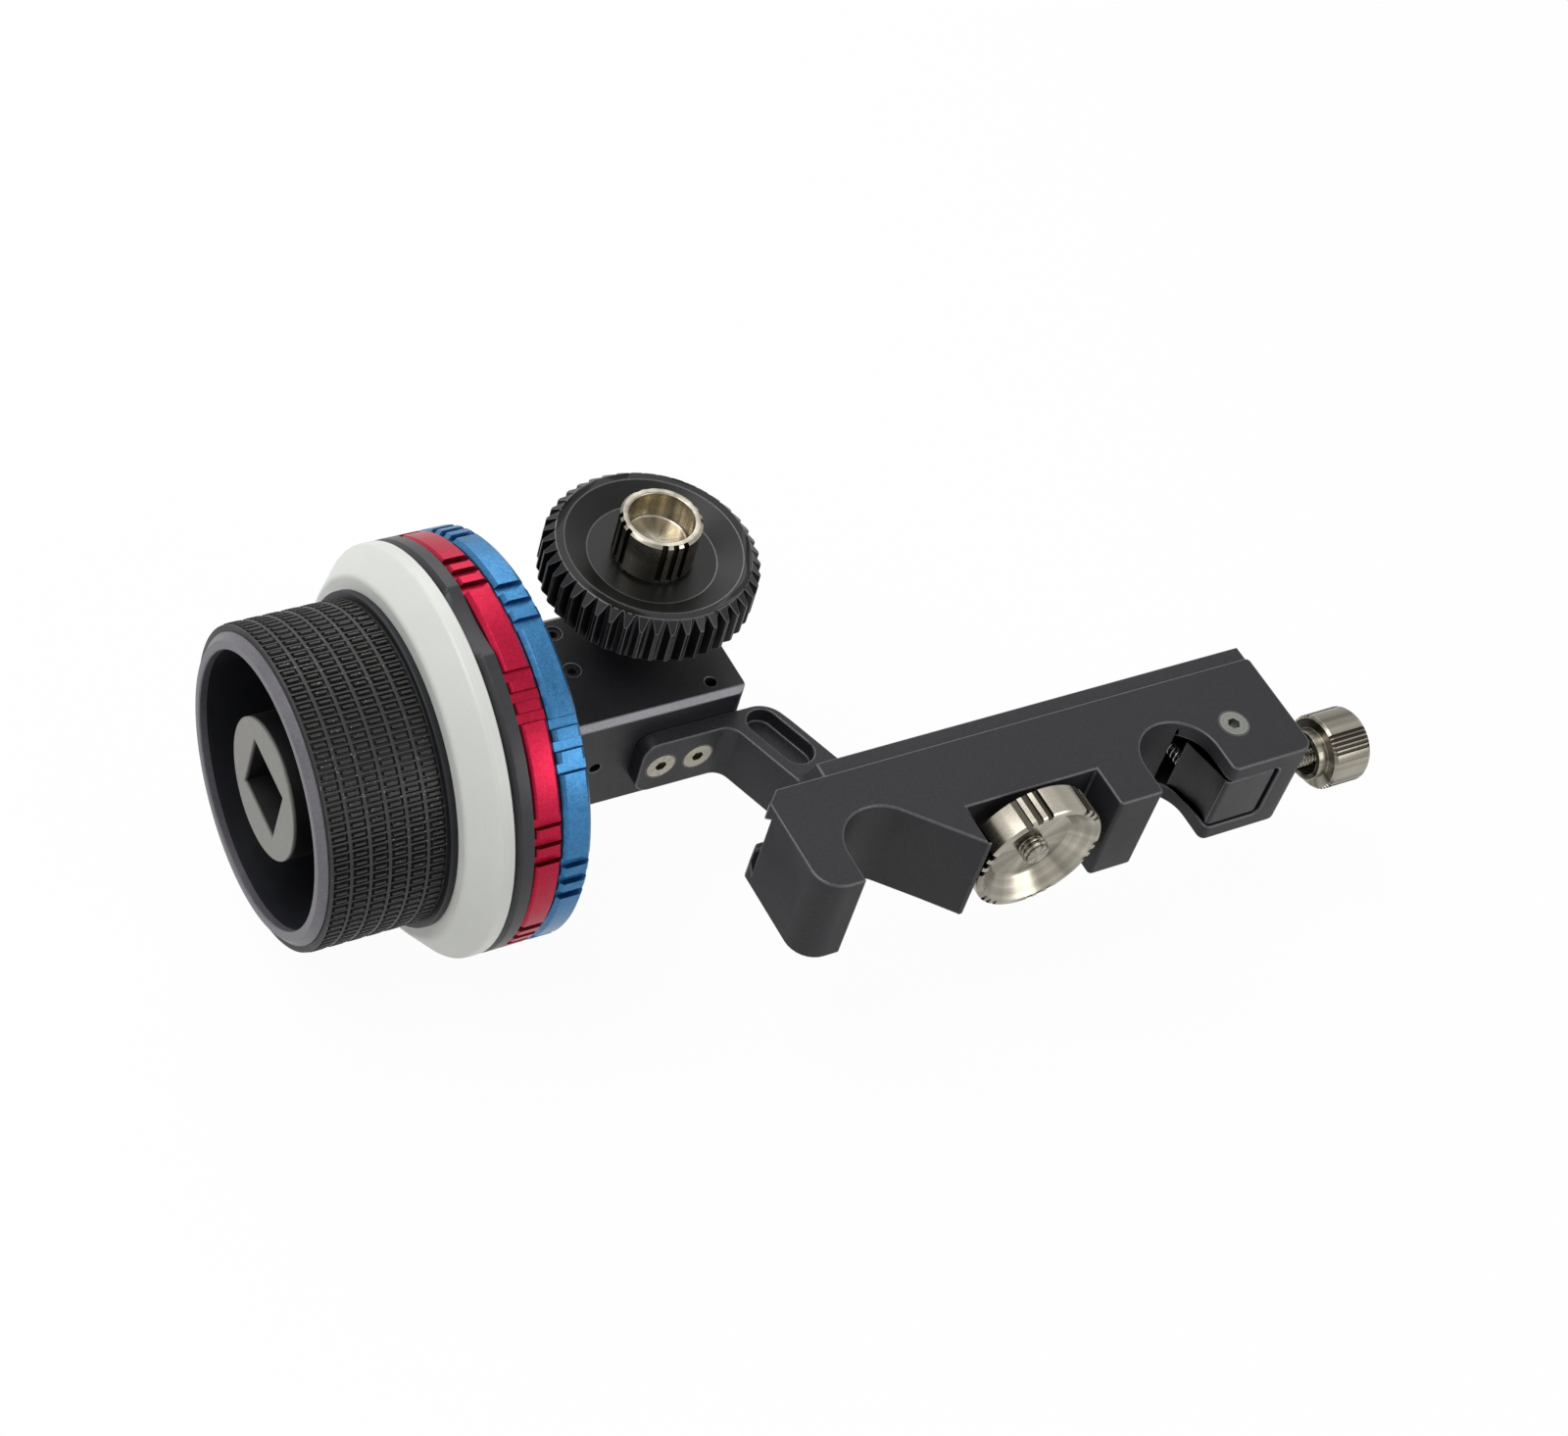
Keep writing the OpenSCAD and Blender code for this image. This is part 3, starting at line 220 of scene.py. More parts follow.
def softCopy(name, node, body, materials, look):
    # A copy of a CAD node with its doubles merged, its flat faces made whole again, and its edges
    # bevelled by look["edge"] millimetres. The bevel takes the second material where there is one, a
    # lighter tone of painted highlight, and so does a face that points the way the look's facing
    # direction does.
    mesh = nodes[node].data.copy()
    mesh.name = name
    bm = bmesh.new()
    bm.from_mesh(mesh)
    bmesh.ops.remove_doubles(bm, verts=bm.verts, dist=20 * weldDistance)
    bmesh.ops.dissolve_limit(bm, angle_limit=math.radians(0.5), verts=bm.verts, edges=bm.edges)
    bm.to_mesh(mesh)
    bm.free()
    for layer in list(mesh.attributes):
        if layer.name in ("sharp_face", "sharp_edge", "custom_normal"):
            mesh.attributes.remove(layer)
    mesh.polygons.foreach_set("use_smooth", np.ones(len(mesh.polygons), bool))
    # faces that point this way take the second material, a painted highlight
    highlightFacing = np.array(look.get("highlightFacing", (0, 0, 0)), float)
    facing = np.array([f.normal[:] for f in mesh.polygons]) @ highlightFacing
    mesh.polygons.foreach_set("material_index", (facing > 0.995).astype(np.int32))
    mesh.set_sharp_from_angle(angle=math.radians(edgeAngle))
    piece = addPiece(name, mesh, body, materials, node)
    bevel = piece.modifiers.new("edges", "BEVEL")
    bevel.width = look["edge"] * mm
    bevel.segments = look["steps"]
    bevel.limit_method = "ANGLE"
    bevel.angle_limit = math.radians(edgeAngle)
    bevel.use_clamp_overlap = False
    bevel.harden_normals = True
    # the bevels take the second material: a painted highlight along the edges
    bevel.material = 1 if len(materials) > 1 else -1
    return piece


def threadPiece(name, s, about, body, material, standsFor, around, perTurn=9):
    # A screw thread: radius = core + (crest - core) * ridge(phase), with phase = along / pitch - a / tau.
    # The ridge is a trapezium: root is half its flat foot and flank its slope, as shares of the pitch.
    # Both ends fade to the core over one pitch.
    axis, u, v, at = axisFrame(about)
    root, flank = 0.06, 0.32
    along = np.linspace(s["start"], s["end"], int((s["end"] - s["start"]) / s["pitch"] * perTurn))
    angle = np.arange(around) * tau / around
    phase = (along[:, None] / s["pitch"] - angle[None, :] / tau) % 1.0
    ridge = np.clip((0.5 - np.abs(phase - 0.5) - root) / flank, 0, 1)
    fade = np.clip(np.minimum(along - s["start"], s["end"] - along) / s["pitch"], 0, 1)[:, None]
    radius = s["core"] + (s["crest"] - s["core"]) * ridge * fade
    radius = np.vstack([np.zeros(around), radius, np.zeros(around)])
    along = np.concatenate([[s["start"]], along, [s["end"]]])
    ring = np.cos(angle)[:, None] * u + np.sin(angle)[:, None] * v
    points = at + along[:, None, None] * axis + radius[:, :, None] * ring[None, :, :]
    mesh = meshFrom(name, points.reshape(-1, 3) * mm, gridQuads(len(along), around, False, True))
    addPiece(name, mesh, body, [material], standsFor)


def coilPiece(name, s, about, body, material, standsFor, sides=12, perTurn=40):
    # Round wire along a helix: the helix point is (radius cos a, radius sin a, along), and the wire's
    # circle stands across it. Over the first and last part of a turn, flat, it only creeps along.
    axis, u, v, at = axisFrame(about)
    flat, creep = 0.7, 0.08
    a = np.linspace(0, s["turns"] * tau, int(s["turns"] * perTurn) + 1)
    rise = np.clip((a / tau - flat) / (s["turns"] - 2 * flat), 0, 1)
    share = creep * a / (s["turns"] * tau) + (1 - creep) * rise
    along = s["start"] + s["wire"] + (s["length"] - 2 * s["wire"]) * share
    out = np.cos(a)[:, None] * u + np.sin(a)[:, None] * v
    path = at + along[:, None] * axis + s["radius"] * out
    b = np.arange(sides) * tau / sides
    skin = path[:, None, :] + s["wire"] * (np.cos(b)[None, :, None] * out[:, None, :]
                                           + np.sin(b)[None, :, None] * axis)
    ends = [path[None, k:k + 1].repeat(sides, 1) for k in (0, len(path) - 1)]
    skin = np.concatenate([ends[0], skin, ends[1]])
    mesh = meshFrom(name, skin.reshape(-1, 3) * mm, gridQuads(len(skin), sides, False, True), sharp=60)
    addPiece(name, mesh, body, [material], standsFor)


def tint(code):
    # a colour written as in a picture editor, made linear
    c = [int(code[i:i + 2], 16) / 255 for i in (1, 3, 5)]
    return tuple((x / 12.92 if x <= 0.04045 else ((x + 0.055) / 1.055) ** 2.4) for x in c) + (1.0,)


def put(tree, kind, inputs=None, **settings):
    # Adds a node, sets its properties, and fills its inputs with values or links.
    node = tree.nodes.new(kind)
    for key, value in settings.items():
        setattr(node, key, value)
    for key, value in (inputs or {}).items():
        if isinstance(value, bpy.types.NodeSocket):
            tree.links.new(value, node.inputs[key])
        else:
            node.inputs[key].default_value = value
    return node


def startGroup(name, inputs, outputs):
    # A shader group with float and vector sockets.
    group = bpy.data.node_groups.new(name, "ShaderNodeTree")
    kinds = {"f": "NodeSocketFloat", "v": "NodeSocketVector"}
    for label, kind, value in inputs:
        socket = group.interface.new_socket(name=label, in_out="INPUT", socket_type=kinds[kind])
        if value is not None:
            socket.default_value = value
    for label, kind in outputs:
        group.interface.new_socket(name=label, in_out="OUTPUT", socket_type=kinds[kind])
    return group, put(group, "NodeGroupInput"), put(group, "NodeGroupOutput")


def useGroup(tree, group, inputs):
    return put(tree, "ShaderNodeGroup", inputs, node_tree=group)


def math2(tree, operation, a, b=None, clamp=False):
    inputs = {0: a} if b is None else {0: a, 1: b}
    return put(tree, "ShaderNodeMath", inputs, operation=operation, use_clamp=clamp).outputs[0]


def weighed(tree, share, a, b):
    # share of a and the rest of b
    return math2(tree, "ADD", math2(tree, "MULTIPLY", a, share), math2(tree, "MULTIPLY", b, 1 - share))


def spread(tree, value, low, high):
    # low becomes 0 and high 1
    inputs = {"Value": value, "From Min": low, "From Max": high}
    return put(tree, "ShaderNodeMapRange", inputs).outputs["Result"]


def ranged(tree, mask, low, high):
    # 0 becomes low and 1 high
    inputs = {"Value": mask, "To Min": low, "To Max": high}
    return put(tree, "ShaderNodeMapRange", inputs).outputs["Result"]


def noise(tree, vector, scale, detail, roughness=0.5):
    inputs = {"Vector": vector, "Scale": scale, "Detail": detail, "Roughness": roughness}
    return put(tree, "ShaderNodeTexNoise", inputs).outputs["Fac"]


def blendColours(tree, mask, a, b):
    return put(tree, "ShaderNodeMix", {"Factor": mask, 6: a, 7: b}, data_type="RGBA").outputs[2]


def fromAxis(tree, vector):
    # sqrt(x^2 + y^2), and the vector's three parts
    parts = put(tree, "ShaderNodeSeparateXYZ", {"Vector": vector}).outputs
    squares = [math2(tree, "MULTIPLY", parts[way], parts[way]) for way in ("X", "Y")]
    return math2(tree, "SQRT", math2(tree, "ADD", *squares)), parts


grainMix = {"big": 0.31, "share": 0.65, "low": 0.36, "high": 0.64, "bump": 0.00006}


def makeBlastGroup(s):
    # Bead blasting: fine grain from two sizes of noise, as a mask and as a bump.
    group, into, out = startGroup("blastedGrain", [("Vector", "v", None), ("Scale", "f", 4000.0),
                                                   ("Depth", "f", 0.2)],
                                  [("Speckle", "f"), ("Normal", "v")])
    vector, scale = into.outputs["Vector"], into.outputs["Scale"]
    fine = noise(group, vector, scale, 2.0, 0.6)
    big = noise(group, vector, math2(group, "MULTIPLY", scale, s["big"]), 3.0)
    both = weighed(group, s["share"], fine, big)
    bump = put(group, "ShaderNodeBump", {"Height": both, "Strength": into.outputs["Depth"],
                                         "Distance": s["bump"]})
    group.links.new(spread(group, both, s["low"], s["high"]), out.inputs["Speckle"])
    group.links.new(bump.outputs["Normal"], out.inputs["Normal"])
    return group


handlingMix = {"smudge": 4.7, "share": 0.7, "low": 0.35, "high": 0.65}


def makeHandlingGroup(s):
    # Handling: broad soft blotches with a few sharper smudges, for colour and gloss.
    group, into, out = startGroup("handlingMarks", [("Vector", "v", None), ("Scale", "f", 60.0)],
                                  [("Mask", "f")])
    vector, scale = into.outputs["Vector"], into.outputs["Scale"]
    broad = put(group, "ShaderNodeTexNoise", {"Vector": vector, "Scale": scale, "Detail": 4.0,
                                              "Distortion": 0.4}).outputs["Fac"]
    smudge = noise(group, vector, math2(group, "MULTIPLY", scale, s["smudge"]), 6.0, 0.7)
    both = weighed(group, s["share"], broad, smudge)
    group.links.new(spread(group, both, s["low"], s["high"]), out.inputs["Mask"])
    return group


latheMix = {"along": 0.93, "low": 0.3, "high": 0.7, "bump": 0.00004}


def makeLatheGroup(s):
    # Lathe marks: noise at (distance from the axis + along * place on the axis), so that the lines run
    # round the axis on faces and on sides alike. The vector comes in with the axis as its Z.
    group, into, out = startGroup("latheMarks", [("Vector", "v", None), ("Lines", "f", 9000.0),
                                                 ("Depth", "f", 0.2)],
                                  [("Mask", "f"), ("Normal", "v")])
    away, parts = fromAxis(group, into.outputs["Vector"])
    way = math2(group, "ADD", away, math2(group, "MULTIPLY", parts["Z"], s["along"]))
    lines = put(group, "ShaderNodeTexNoise", {"W": way, "Scale": into.outputs["Lines"], "Detail": 3.0,
                                              "Roughness": 0.65}, noise_dimensions="1D").outputs["Fac"]
    bump = put(group, "ShaderNodeBump", {"Height": lines, "Strength": into.outputs["Depth"],
                                         "Distance": s["bump"]})
    group.links.new(spread(group, lines, s["low"], s["high"]), out.inputs["Mask"])
    group.links.new(bump.outputs["Normal"], out.inputs["Normal"])
    return group


dustMix = {"drift": 90.0, "low": 0.42, "high": 0.62, "size": 0.32}


def makeDustGroup(s):
    # Dust: small round grains where a cell's own random number is under the share, in drifts.
    group, into, out = startGroup("dustGrains", [("Vector", "v", None), ("Scale", "f", 1800.0),
                                                 ("Share", "f", 0.1)],
                                  [("Mask", "f")])
    vector = into.outputs["Vector"]
    cells = put(group, "ShaderNodeTexVoronoi", {"Vector": vector, "Scale": into.outputs["Scale"],
                                                "Randomness": 1.0})
    drift = spread(group, noise(group, vector, s["drift"], 2.0), s["low"], s["high"])
    random = put(group, "ShaderNodeSeparateColor", {"Color": cells.outputs["Color"]})
    share = math2(group, "MULTIPLY", into.outputs["Share"], drift)
    chosen = math2(group, "LESS_THAN", random.outputs["Red"], share)
    small = math2(group, "LESS_THAN", cells.outputs["Distance"], s["size"])
    group.links.new(math2(group, "MULTIPLY", chosen, small), out.inputs["Mask"])
    return group


paintedReflectionMix = {"low": 0.4, "high": 0.62}


def makePaintedReflectionGroup(s):
    # Painted reflection: broad dark fans round an axis, as turned metal reflects its surroundings, laid
    # into the colour: noise at (x / r, y / r), with r the distance from the axis. The vector comes in
    # with the axis as its Z.
    group, into, out = startGroup("paintedReflectionTones", [("Vector", "v", None), ("Scale", "f", 1.5)],
                                  [("Mask", "f")])
    parts = put(group, "ShaderNodeSeparateXYZ", {"Vector": into.outputs["Vector"]}).outputs
    flat = put(group, "ShaderNodeCombineXYZ", {"X": parts["X"], "Y": parts["Y"], "Z": 0.0})
    way = put(group, "ShaderNodeVectorMath", {0: flat.outputs[0]}, operation="NORMALIZE")
    tones = noise(group, way.outputs[0], into.outputs["Scale"], 3.0, 0.6)
    group.links.new(spread(group, tones, s["low"], s["high"]), out.inputs["Mask"])
    return group


paintedReflectionTones = makePaintedReflectionGroup(paintedReflectionMix)
blastedGrain = makeBlastGroup(grainMix)
handlingMarks = makeHandlingGroup(handlingMix)
latheMarks = makeLatheGroup(latheMix)
dustGrains = makeDustGroup(dustMix)


def emptyTree(owner):
    owner.use_nodes = True
    owner.node_tree.nodes.clear()
    return owner.node_tree


def startMaterial(name):
    material = bpy.data.materials.new(name)
    tree = emptyTree(material)
    shader = put(tree, "ShaderNodeBsdfPrincipled")
    put(tree, "ShaderNodeOutputMaterial", {"Surface": shader.outputs[0]})
    place = put(tree, "ShaderNodeTexCoord").outputs["Object"]
    return material, tree, shader, place


def centred(tree, place, about):
    # Moves the object's own coordinates onto an axis and turns them so that the axis is Z.
    kind, centre = about
    shifted = put(tree, "ShaderNodeVectorMath", {0: place, 1: tuple(c * mm for c in centre)},
                  operation="SUBTRACT").outputs[0]
    turn = {"x": (0, math.radians(-90), 0), "y": (math.radians(90), 0, 0), "z": (0, 0, 0)}[kind]
    return put(tree, "ShaderNodeMapping", {"Vector": shifted, "Rotation": turn}).outputs[0]


def grainOn(tree, place, look):
    return useGroup(tree, blastedGrain, {"Vector": place, "Scale": look["grain"],
                                         "Depth": look["depth"]}).outputs


def marksOn(tree, place, scale):
    return useGroup(tree, handlingMarks, {"Vector": place, "Scale": scale}).outputs["Mask"]


def finishShader(tree, shader, colour, roughness, normal, look, metal):
    # metal is used where the look has none of its own
    tree.links.new(colour, shader.inputs["Base Color"])
    tree.links.new(roughness, shader.inputs["Roughness"])
    tree.links.new(normal, shader.inputs["Normal"])
    shader.inputs["Metallic"].default_value = look.get("metal", metal)
    shader.inputs["Specular IOR Level"].default_value = look.get("shine", 0.5)


def blastedFinish(name, look):
    # Blasted and anodised: two close tones by handling, pin-point speckle, and a fine bump.
    material, tree, shader, place = startMaterial(name)
    grain = grainOn(tree, place, look)
    marks = marksOn(tree, place, look.get("blotch", 55.0))
    base = blendColours(tree, marks, tint(look["dark"]), tint(look["light"]))
    speckle = math2(tree, "MULTIPLY", grain["Speckle"], look["sparkle"])
    colour = blendColours(tree, speckle, base, tint(look["spark"]))
    if "deep" in look:  # the finish ends a little way in along X, and the deep colour follows
        x = put(tree, "ShaderNodeSeparateXYZ", {"Vector": place}).outputs["X"]
        inside = spread(tree, x, look["from"] * mm, look["to"] * mm)
        colour = blendColours(tree, inside, colour, tint(look["deep"]))
        bare = math2(tree, "MULTIPLY", math2(tree, "SUBTRACT", 1.0, inside), look["metal"])
        tree.links.new(bare, shader.inputs["Metallic"])
    finishShader(tree, shader, colour, ranged(tree, marks, *look["rough"]), grain["Normal"], look,
                 metal=0.0)
    return material


def turnedFinish(name, look, about, blotch=120.0, lineShare=0.6):
    # Turned on a lathe: lines round the axis in colour, gloss and bump, over soft handling marks.
    material, tree, shader, place = startMaterial(name)
    turned = centred(tree, place, about)
    lines = useGroup(tree, latheMarks, {"Vector": turned, "Lines": look["lines"],
                                        "Depth": look["depth"]}).outputs
    marks = marksOn(tree, place, blotch)
    base = blendColours(tree, lines["Mask"], tint(look["dark"]), tint(look["light"]))
    # painted reflection: the shade colour is mixed in over dark fans round the axis, by the share
    if "shade" in look:
        paintedReflection = useGroup(tree, paintedReflectionTones, {"Vector": turned, "Scale": look["paintedReflection"]}).outputs["Mask"]
        paintedShade = math2(tree, "MULTIPLY", paintedReflection, look["share"])
        base = blendColours(tree, paintedShade, base, tint(look["shade"]))
    worn = math2(tree, "MULTIPLY", marks, look["worn"])
    colour = blendColours(tree, worn, base, tint(look["spark"]))
    mixed = weighed(tree, lineShare, lines["Mask"], marks)
    finishShader(tree, shader, colour, ranged(tree, mixed, *look["rough"]), lines["Normal"], look,
                 metal=1.0)
    return material


def rubberFinish(name, look, about, blotch=70.0, speckle=0.35):
    # Rubber: low sheen, painted shade in the grooves, dusty tops, and light grains of dust in drifts. The
    # painted groove shade is where the distance from the axis is under the low radius.
    material, tree, shader, place = startMaterial(name)
    grain = grainOn(tree, place, look)
    marks = marksOn(tree, place, blotch)
    dust = useGroup(tree, dustGrains, {"Vector": place, "Scale": look["dustScale"],
                                       "Share": look["dustShare"]}).outputs["Mask"]
    base = blendColours(tree, marks, tint(look["dark"]), tint(look["light"]))
    # painted shade: the groove colour darkens the grip where it sinks under the low radius
    away, _ = fromAxis(tree, centred(tree, place, about))
    base = blendColours(tree, spread(tree, away, look["low"] * mm, look["high"] * mm),
                        tint(look["groove"]), base)
    soiled = blendColours(tree, math2(tree, "MULTIPLY", grain["Speckle"], speckle), base,
                          tint(look["spark"]))
    colour = blendColours(tree, dust, soiled, tint(look["dust"]))
    finishShader(tree, shader, colour, ranged(tree, marks, *look["rough"]), grain["Normal"], look,
                 metal=0.0)
    return material


print("stage: shader groups ready")


# The axes of round pieces: the direction, and a point on the axis.
handAxis = ("x", (0, 49.7, -1.4))       # handwheel, rings and disc
gearAxis = ("z", (-20.1, 55.6, 0))      # lens gear and its cap
lockAxis = ("y", (30, 0, 0))            # lock wheel and its stud
knobAxis = ("x", (0, -0.9, 0))          # jaw screw
pivotAxis = ("z", (73.5, 3.5, 0))       # the jaw's pivot screw
bracketAxis = ("y", (-22.7, 0, -2))     # between the bracket's two screws


clampLook = {"dark": "#141417", "light": "#1a1a1d", "spark": "#3d3c41", "grain": 5200.0, "depth": 0.35,
             "rough": (0.46, 0.6), "sparkle": 0.3, "shine": 0.3}
# a lighter tone for the bevelled edges: painted highlight
edgeHighlightLook = {"dark": "#303034", "light": "#3b3b40", "spark": "#66666b", "grain": 2600.0, "depth": 0.2,
                 "rough": (0.3, 0.42), "sparkle": 0.35, "shine": 0.6}
clampShape = {"edge": 0.35, "steps": 3}
jawLook = {"dark": "#121214", "light": "#18181b", "spark": "#39393e", "grain": 4200.0, "depth": 0.2,
           "rough": (0.36, 0.5), "sparkle": 0.25, "shine": 0.35}
jawShape = {"edge": 0.25, "steps": 2}
railLook = {"dark": "#18181b", "light": "#1e1e22", "spark": "#434348", "grain": 4800.0, "depth": 0.3,
            "rough": (0.42, 0.56), "sparkle": 0.28, "shine": 0.3}
railShape = {"edge": 0.25, "steps": 2}

clampFinish = blastedFinish("clampFinish", clampLook)
paintedEdgeHighlight = blastedFinish("paintedEdgeHighlight", edgeHighlightLook)
jawFinish = blastedFinish("jawFinish", jawLook)
railFinish = blastedFinish("railFinish", railLook)

softCopy("clampBody", "clamp_block", "clamp", [clampFinish, paintedEdgeHighlight], clampShape)
softCopy("clampJaw", "clamp_jaw", "jaw", [jawFinish, paintedEdgeHighlight], jawShape)
softCopy("slideRail", "slide_rail", "carriage", [railFinish, paintedEdgeHighlight], railShape)
print("stage: clamp, jaw and rail")


# the shade colours below are painted reflection, dark fans laid round the axis of turned pieces
nickelLook = {"dark": "#a29c8f", "light": "#c4beb1", "spark": "#827c6f", "lines": 9000.0, "depth": 0.14,
              "rough": (0.2, 0.3), "worn": 0.2, "shade": "#57524a", "paintedReflection": 1.2, "share": 0.7}
satinLook = {"dark": "#8f8a7e", "light": "#b5afa3", "spark": "#6e695e", "lines": 9000.0, "depth": 0.14,
             "rough": (0.2, 0.32), "worn": 0.25, "shade": "#45413a", "paintedReflection": 1.9, "share": 0.85}
# a darker tone for the flutes of turned pieces: painted shade in the grooves
grooveShadeLook = {"dark": "#2f2c26", "light": "#4a463d", "spark": "#1d1b17", "lines": 9000.0, "depth": 0.1,
              "rough": (0.3, 0.45), "worn": 0.3}
boreLook = {"dark": "#bcb094", "light": "#e0d8c4", "spark": "#9a8e74", "lines": 9000.0, "depth": 0.1,
            "rough": (0.16, 0.28), "worn": 0.2, "shade": "#4c4335", "paintedReflection": 2.2, "share": 0.85}
zincLook = {"dark": "#7c7e78", "light": "#9a9c95", "spark": "#5c615a", "lines": 6000.0, "depth": 0.2,
            "rough": (0.22, 0.38), "worn": 0.35}
steelLook = {"dark": "#8b8c8c", "light": "#a9aaaa", "spark": "#6c6d6d", "lines": 8000.0, "depth": 0.25,
             "rough": (0.28, 0.42), "worn": 0.3}
blackSteelLook = {"dark": "#222224", "light": "#303033", "spark": "#5a5a5e", "lines": 8000.0,
                  "depth": 0.2, "rough": (0.35, 0.5), "worn": 0.3, "metal": 0.4}
bronzeLook = {"dark": "#a37a45", "light": "#c09a5f", "spark": "#7d5c33", "lines": 8000.0, "depth": 0.2,
              "rough": (0.3, 0.45), "worn": 0.3}

lockWheelShape = {"front": -5.5, "back": 0.5, "radius": 12.25, "rim": 1.15, "floor": 7.75, "dish": 3.1,
                  "bore": 2.2, "ease": 0.3, "grooveDepth": 0.6, "grooveWidth": 1.1, "groups": 6,
                  "first": -48, "step": 9.6, "dishSoft": 0.8, "lipSoft": 0.12, "soft": 0.1}
lockNickel = turnedFinish("lockNickel", nickelLook, lockAxis)
lockGrooveShade = turnedFinish("lockGrooveShade", grooveShadeLook, lockAxis)


def buildLockWheel(s):
    # outline from the bore over the dish and the rim to the back, with eased lips
    front, back, radius, ease = s["front"], s["back"], s["radius"], s["ease"]
    dish = front + s["dish"]
    outline = [(dish, s["bore"], 0), (dish, s["floor"], s["dishSoft"]),
               (front, radius - s["rim"], s["lipSoft"]), (front, radius - ease, s["soft"]),
               (front + ease, radius, s["soft"]), (back - ease, radius, s["soft"]),
               (back, radius - ease, s["soft"]), (back, s["bore"], 0)]
    turnedPiece("lockWheel", easedLoop(outline), lockAxis, "lock",
                [lockNickel, lockGrooveShade], "lock_wheel", cut=grooved(s))


lockStudShape = {"core": 2.1, "crest": 2.5, "pitch": 0.8, "start": -4.8, "end": 10.43}
studSteel = turnedFinish("studSteel", satinLook, lockAxis)
buildLockWheel(lockWheelShape)
threadPiece("lockStud", lockStudShape, lockAxis, "lock", studSteel, "lock_stud", 40)

knobShape = {"collarStart": 90.1, "start": 92.1, "length": 8.4, "collar": 4.6, "collarBore": 3.6,
             "radius": 6.85, "lip": 0.5, "grooveDepth": 0.4, "grooveWidth": 0.5, "groups": 4,
             "first": -149, "step": 7, "side": 2, "stud": 1.8, "boreDepth": 0.6, "studDepth": 1.4,
             "soft": 0.15, "innerSoft": 0.1}
knobNickel = turnedFinish("knobNickel", satinLook, knobAxis)
knobGrooveShade = turnedFinish("knobGrooveShade", grooveShadeLook, knobAxis)


def buildKnob(s):
    # hollow collar, face, fluted side with eased lips, and a flat end
    start, radius, lip = s["start"], s["radius"], s["lip"]
    end = start + s["length"]
    collarFloor, studFloor = start + s["boreDepth"], start + s["studDepth"]
    outline = [(collarFloor, s["stud"], 0), (collarFloor, s["collarBore"], 0),
               (s["collarStart"], s["collarBore"], s["soft"]), (s["collarStart"], s["collar"], s["soft"]),
               (start, s["collar"], s["innerSoft"]), (start, radius - lip, s["innerSoft"]),
               (start + lip, radius, s["soft"]), (end - 2 * lip, radius, s["soft"]),
               (end - lip / 2, radius - lip, s["innerSoft"]), (end, radius - 2 * lip, s["soft"]),
               (end, axisRadius, 0), (studFloor, axisRadius, 0), (studFloor, s["stud"], 0)]
    turnedPiece("jawKnob", easedLoop(outline), knobAxis, "jaw_screw",
                [knobNickel, knobGrooveShade], "jaw_screw_knob", count=192, cut=grooved(s))


jawStudShape = {"core": 1.55, "crest": 1.9, "pitch": 0.7, "start": 79.15, "end": 95.0}
jawStudSteel = turnedFinish("jawStudSteel", satinLook, knobAxis)
buildKnob(knobShape)
threadPiece("jawStud", jawStudShape, knobAxis, "jaw_screw", jawStudSteel,
            "jaw_screw_stud", 36)

springShape = {"radius": 1.1, "wire": 0.25, "turns": 5, "length": 4.3, "start": 5.0}
springAxis = ("y", (67.0, 0, 0))
springSteel = turnedFinish("springSteel", steelLook, springAxis)
coilPiece("jawSpring", springShape, springAxis, "jaw", springSteel, "jaw_spring")

capShape = {"bottom": 28.15, "top": 36.45, "radius": 6.95, "bore": 5.5, "floor": 31.05, "lip": 0.45,
            "grooveDepth": 0.5, "grooveWidth": 0.95, "groups": 4, "first": -96, "step": 16,
            "soft": 0.15, "mouthSoft": 0.3, "floorSoft": 0.5}
capNickel = turnedFinish("capNickel", nickelLook, gearAxis)
capGrooveShade = turnedFinish("capGrooveShade", grooveShadeLook, gearAxis)
capBore = turnedFinish("capBore", boreLook, gearAxis)


def buildCap(s):
    # fluted side, thin rim, and a deep bore with a flat floor
    bottom, top, radius, lip = s["bottom"], s["top"], s["radius"], s["lip"]
    outline = [(bottom, axisRadius, 0), (bottom, radius, s["soft"]), (top - lip, radius, s["soft"]),
               (top, radius - lip, s["soft"]), (top, s["bore"], s["mouthSoft"]),
               (s["floor"], s["bore"], s["floorSoft"]), (s["floor"], axisRadius, 0)]
    turnedPiece("gearCap", easedLoop(outline), gearAxis, "cap",
                [capNickel, capGrooveShade, capBore], "gear_cap", count=192, cut=grooved(s), bore=s["bore"])


buildCap(capShape)
print("stage: wheels, screws and spring")


armLook = {"dark": "#18181b", "light": "#1f1f22", "spark": "#46464b", "grain": 4600.0, "depth": 0.3,
           "rough": (0.4, 0.55), "sparkle": 0.28, "shine": 0.3}
armShape = {"edge": 0.3, "steps": 2}
boxLook = {"dark": "#151517", "light": "#1b1b1e", "spark": "#404044", "grain": 4600.0, "depth": 0.3,
           "rough": (0.42, 0.56), "sparkle": 0.28, "shine": 0.3}
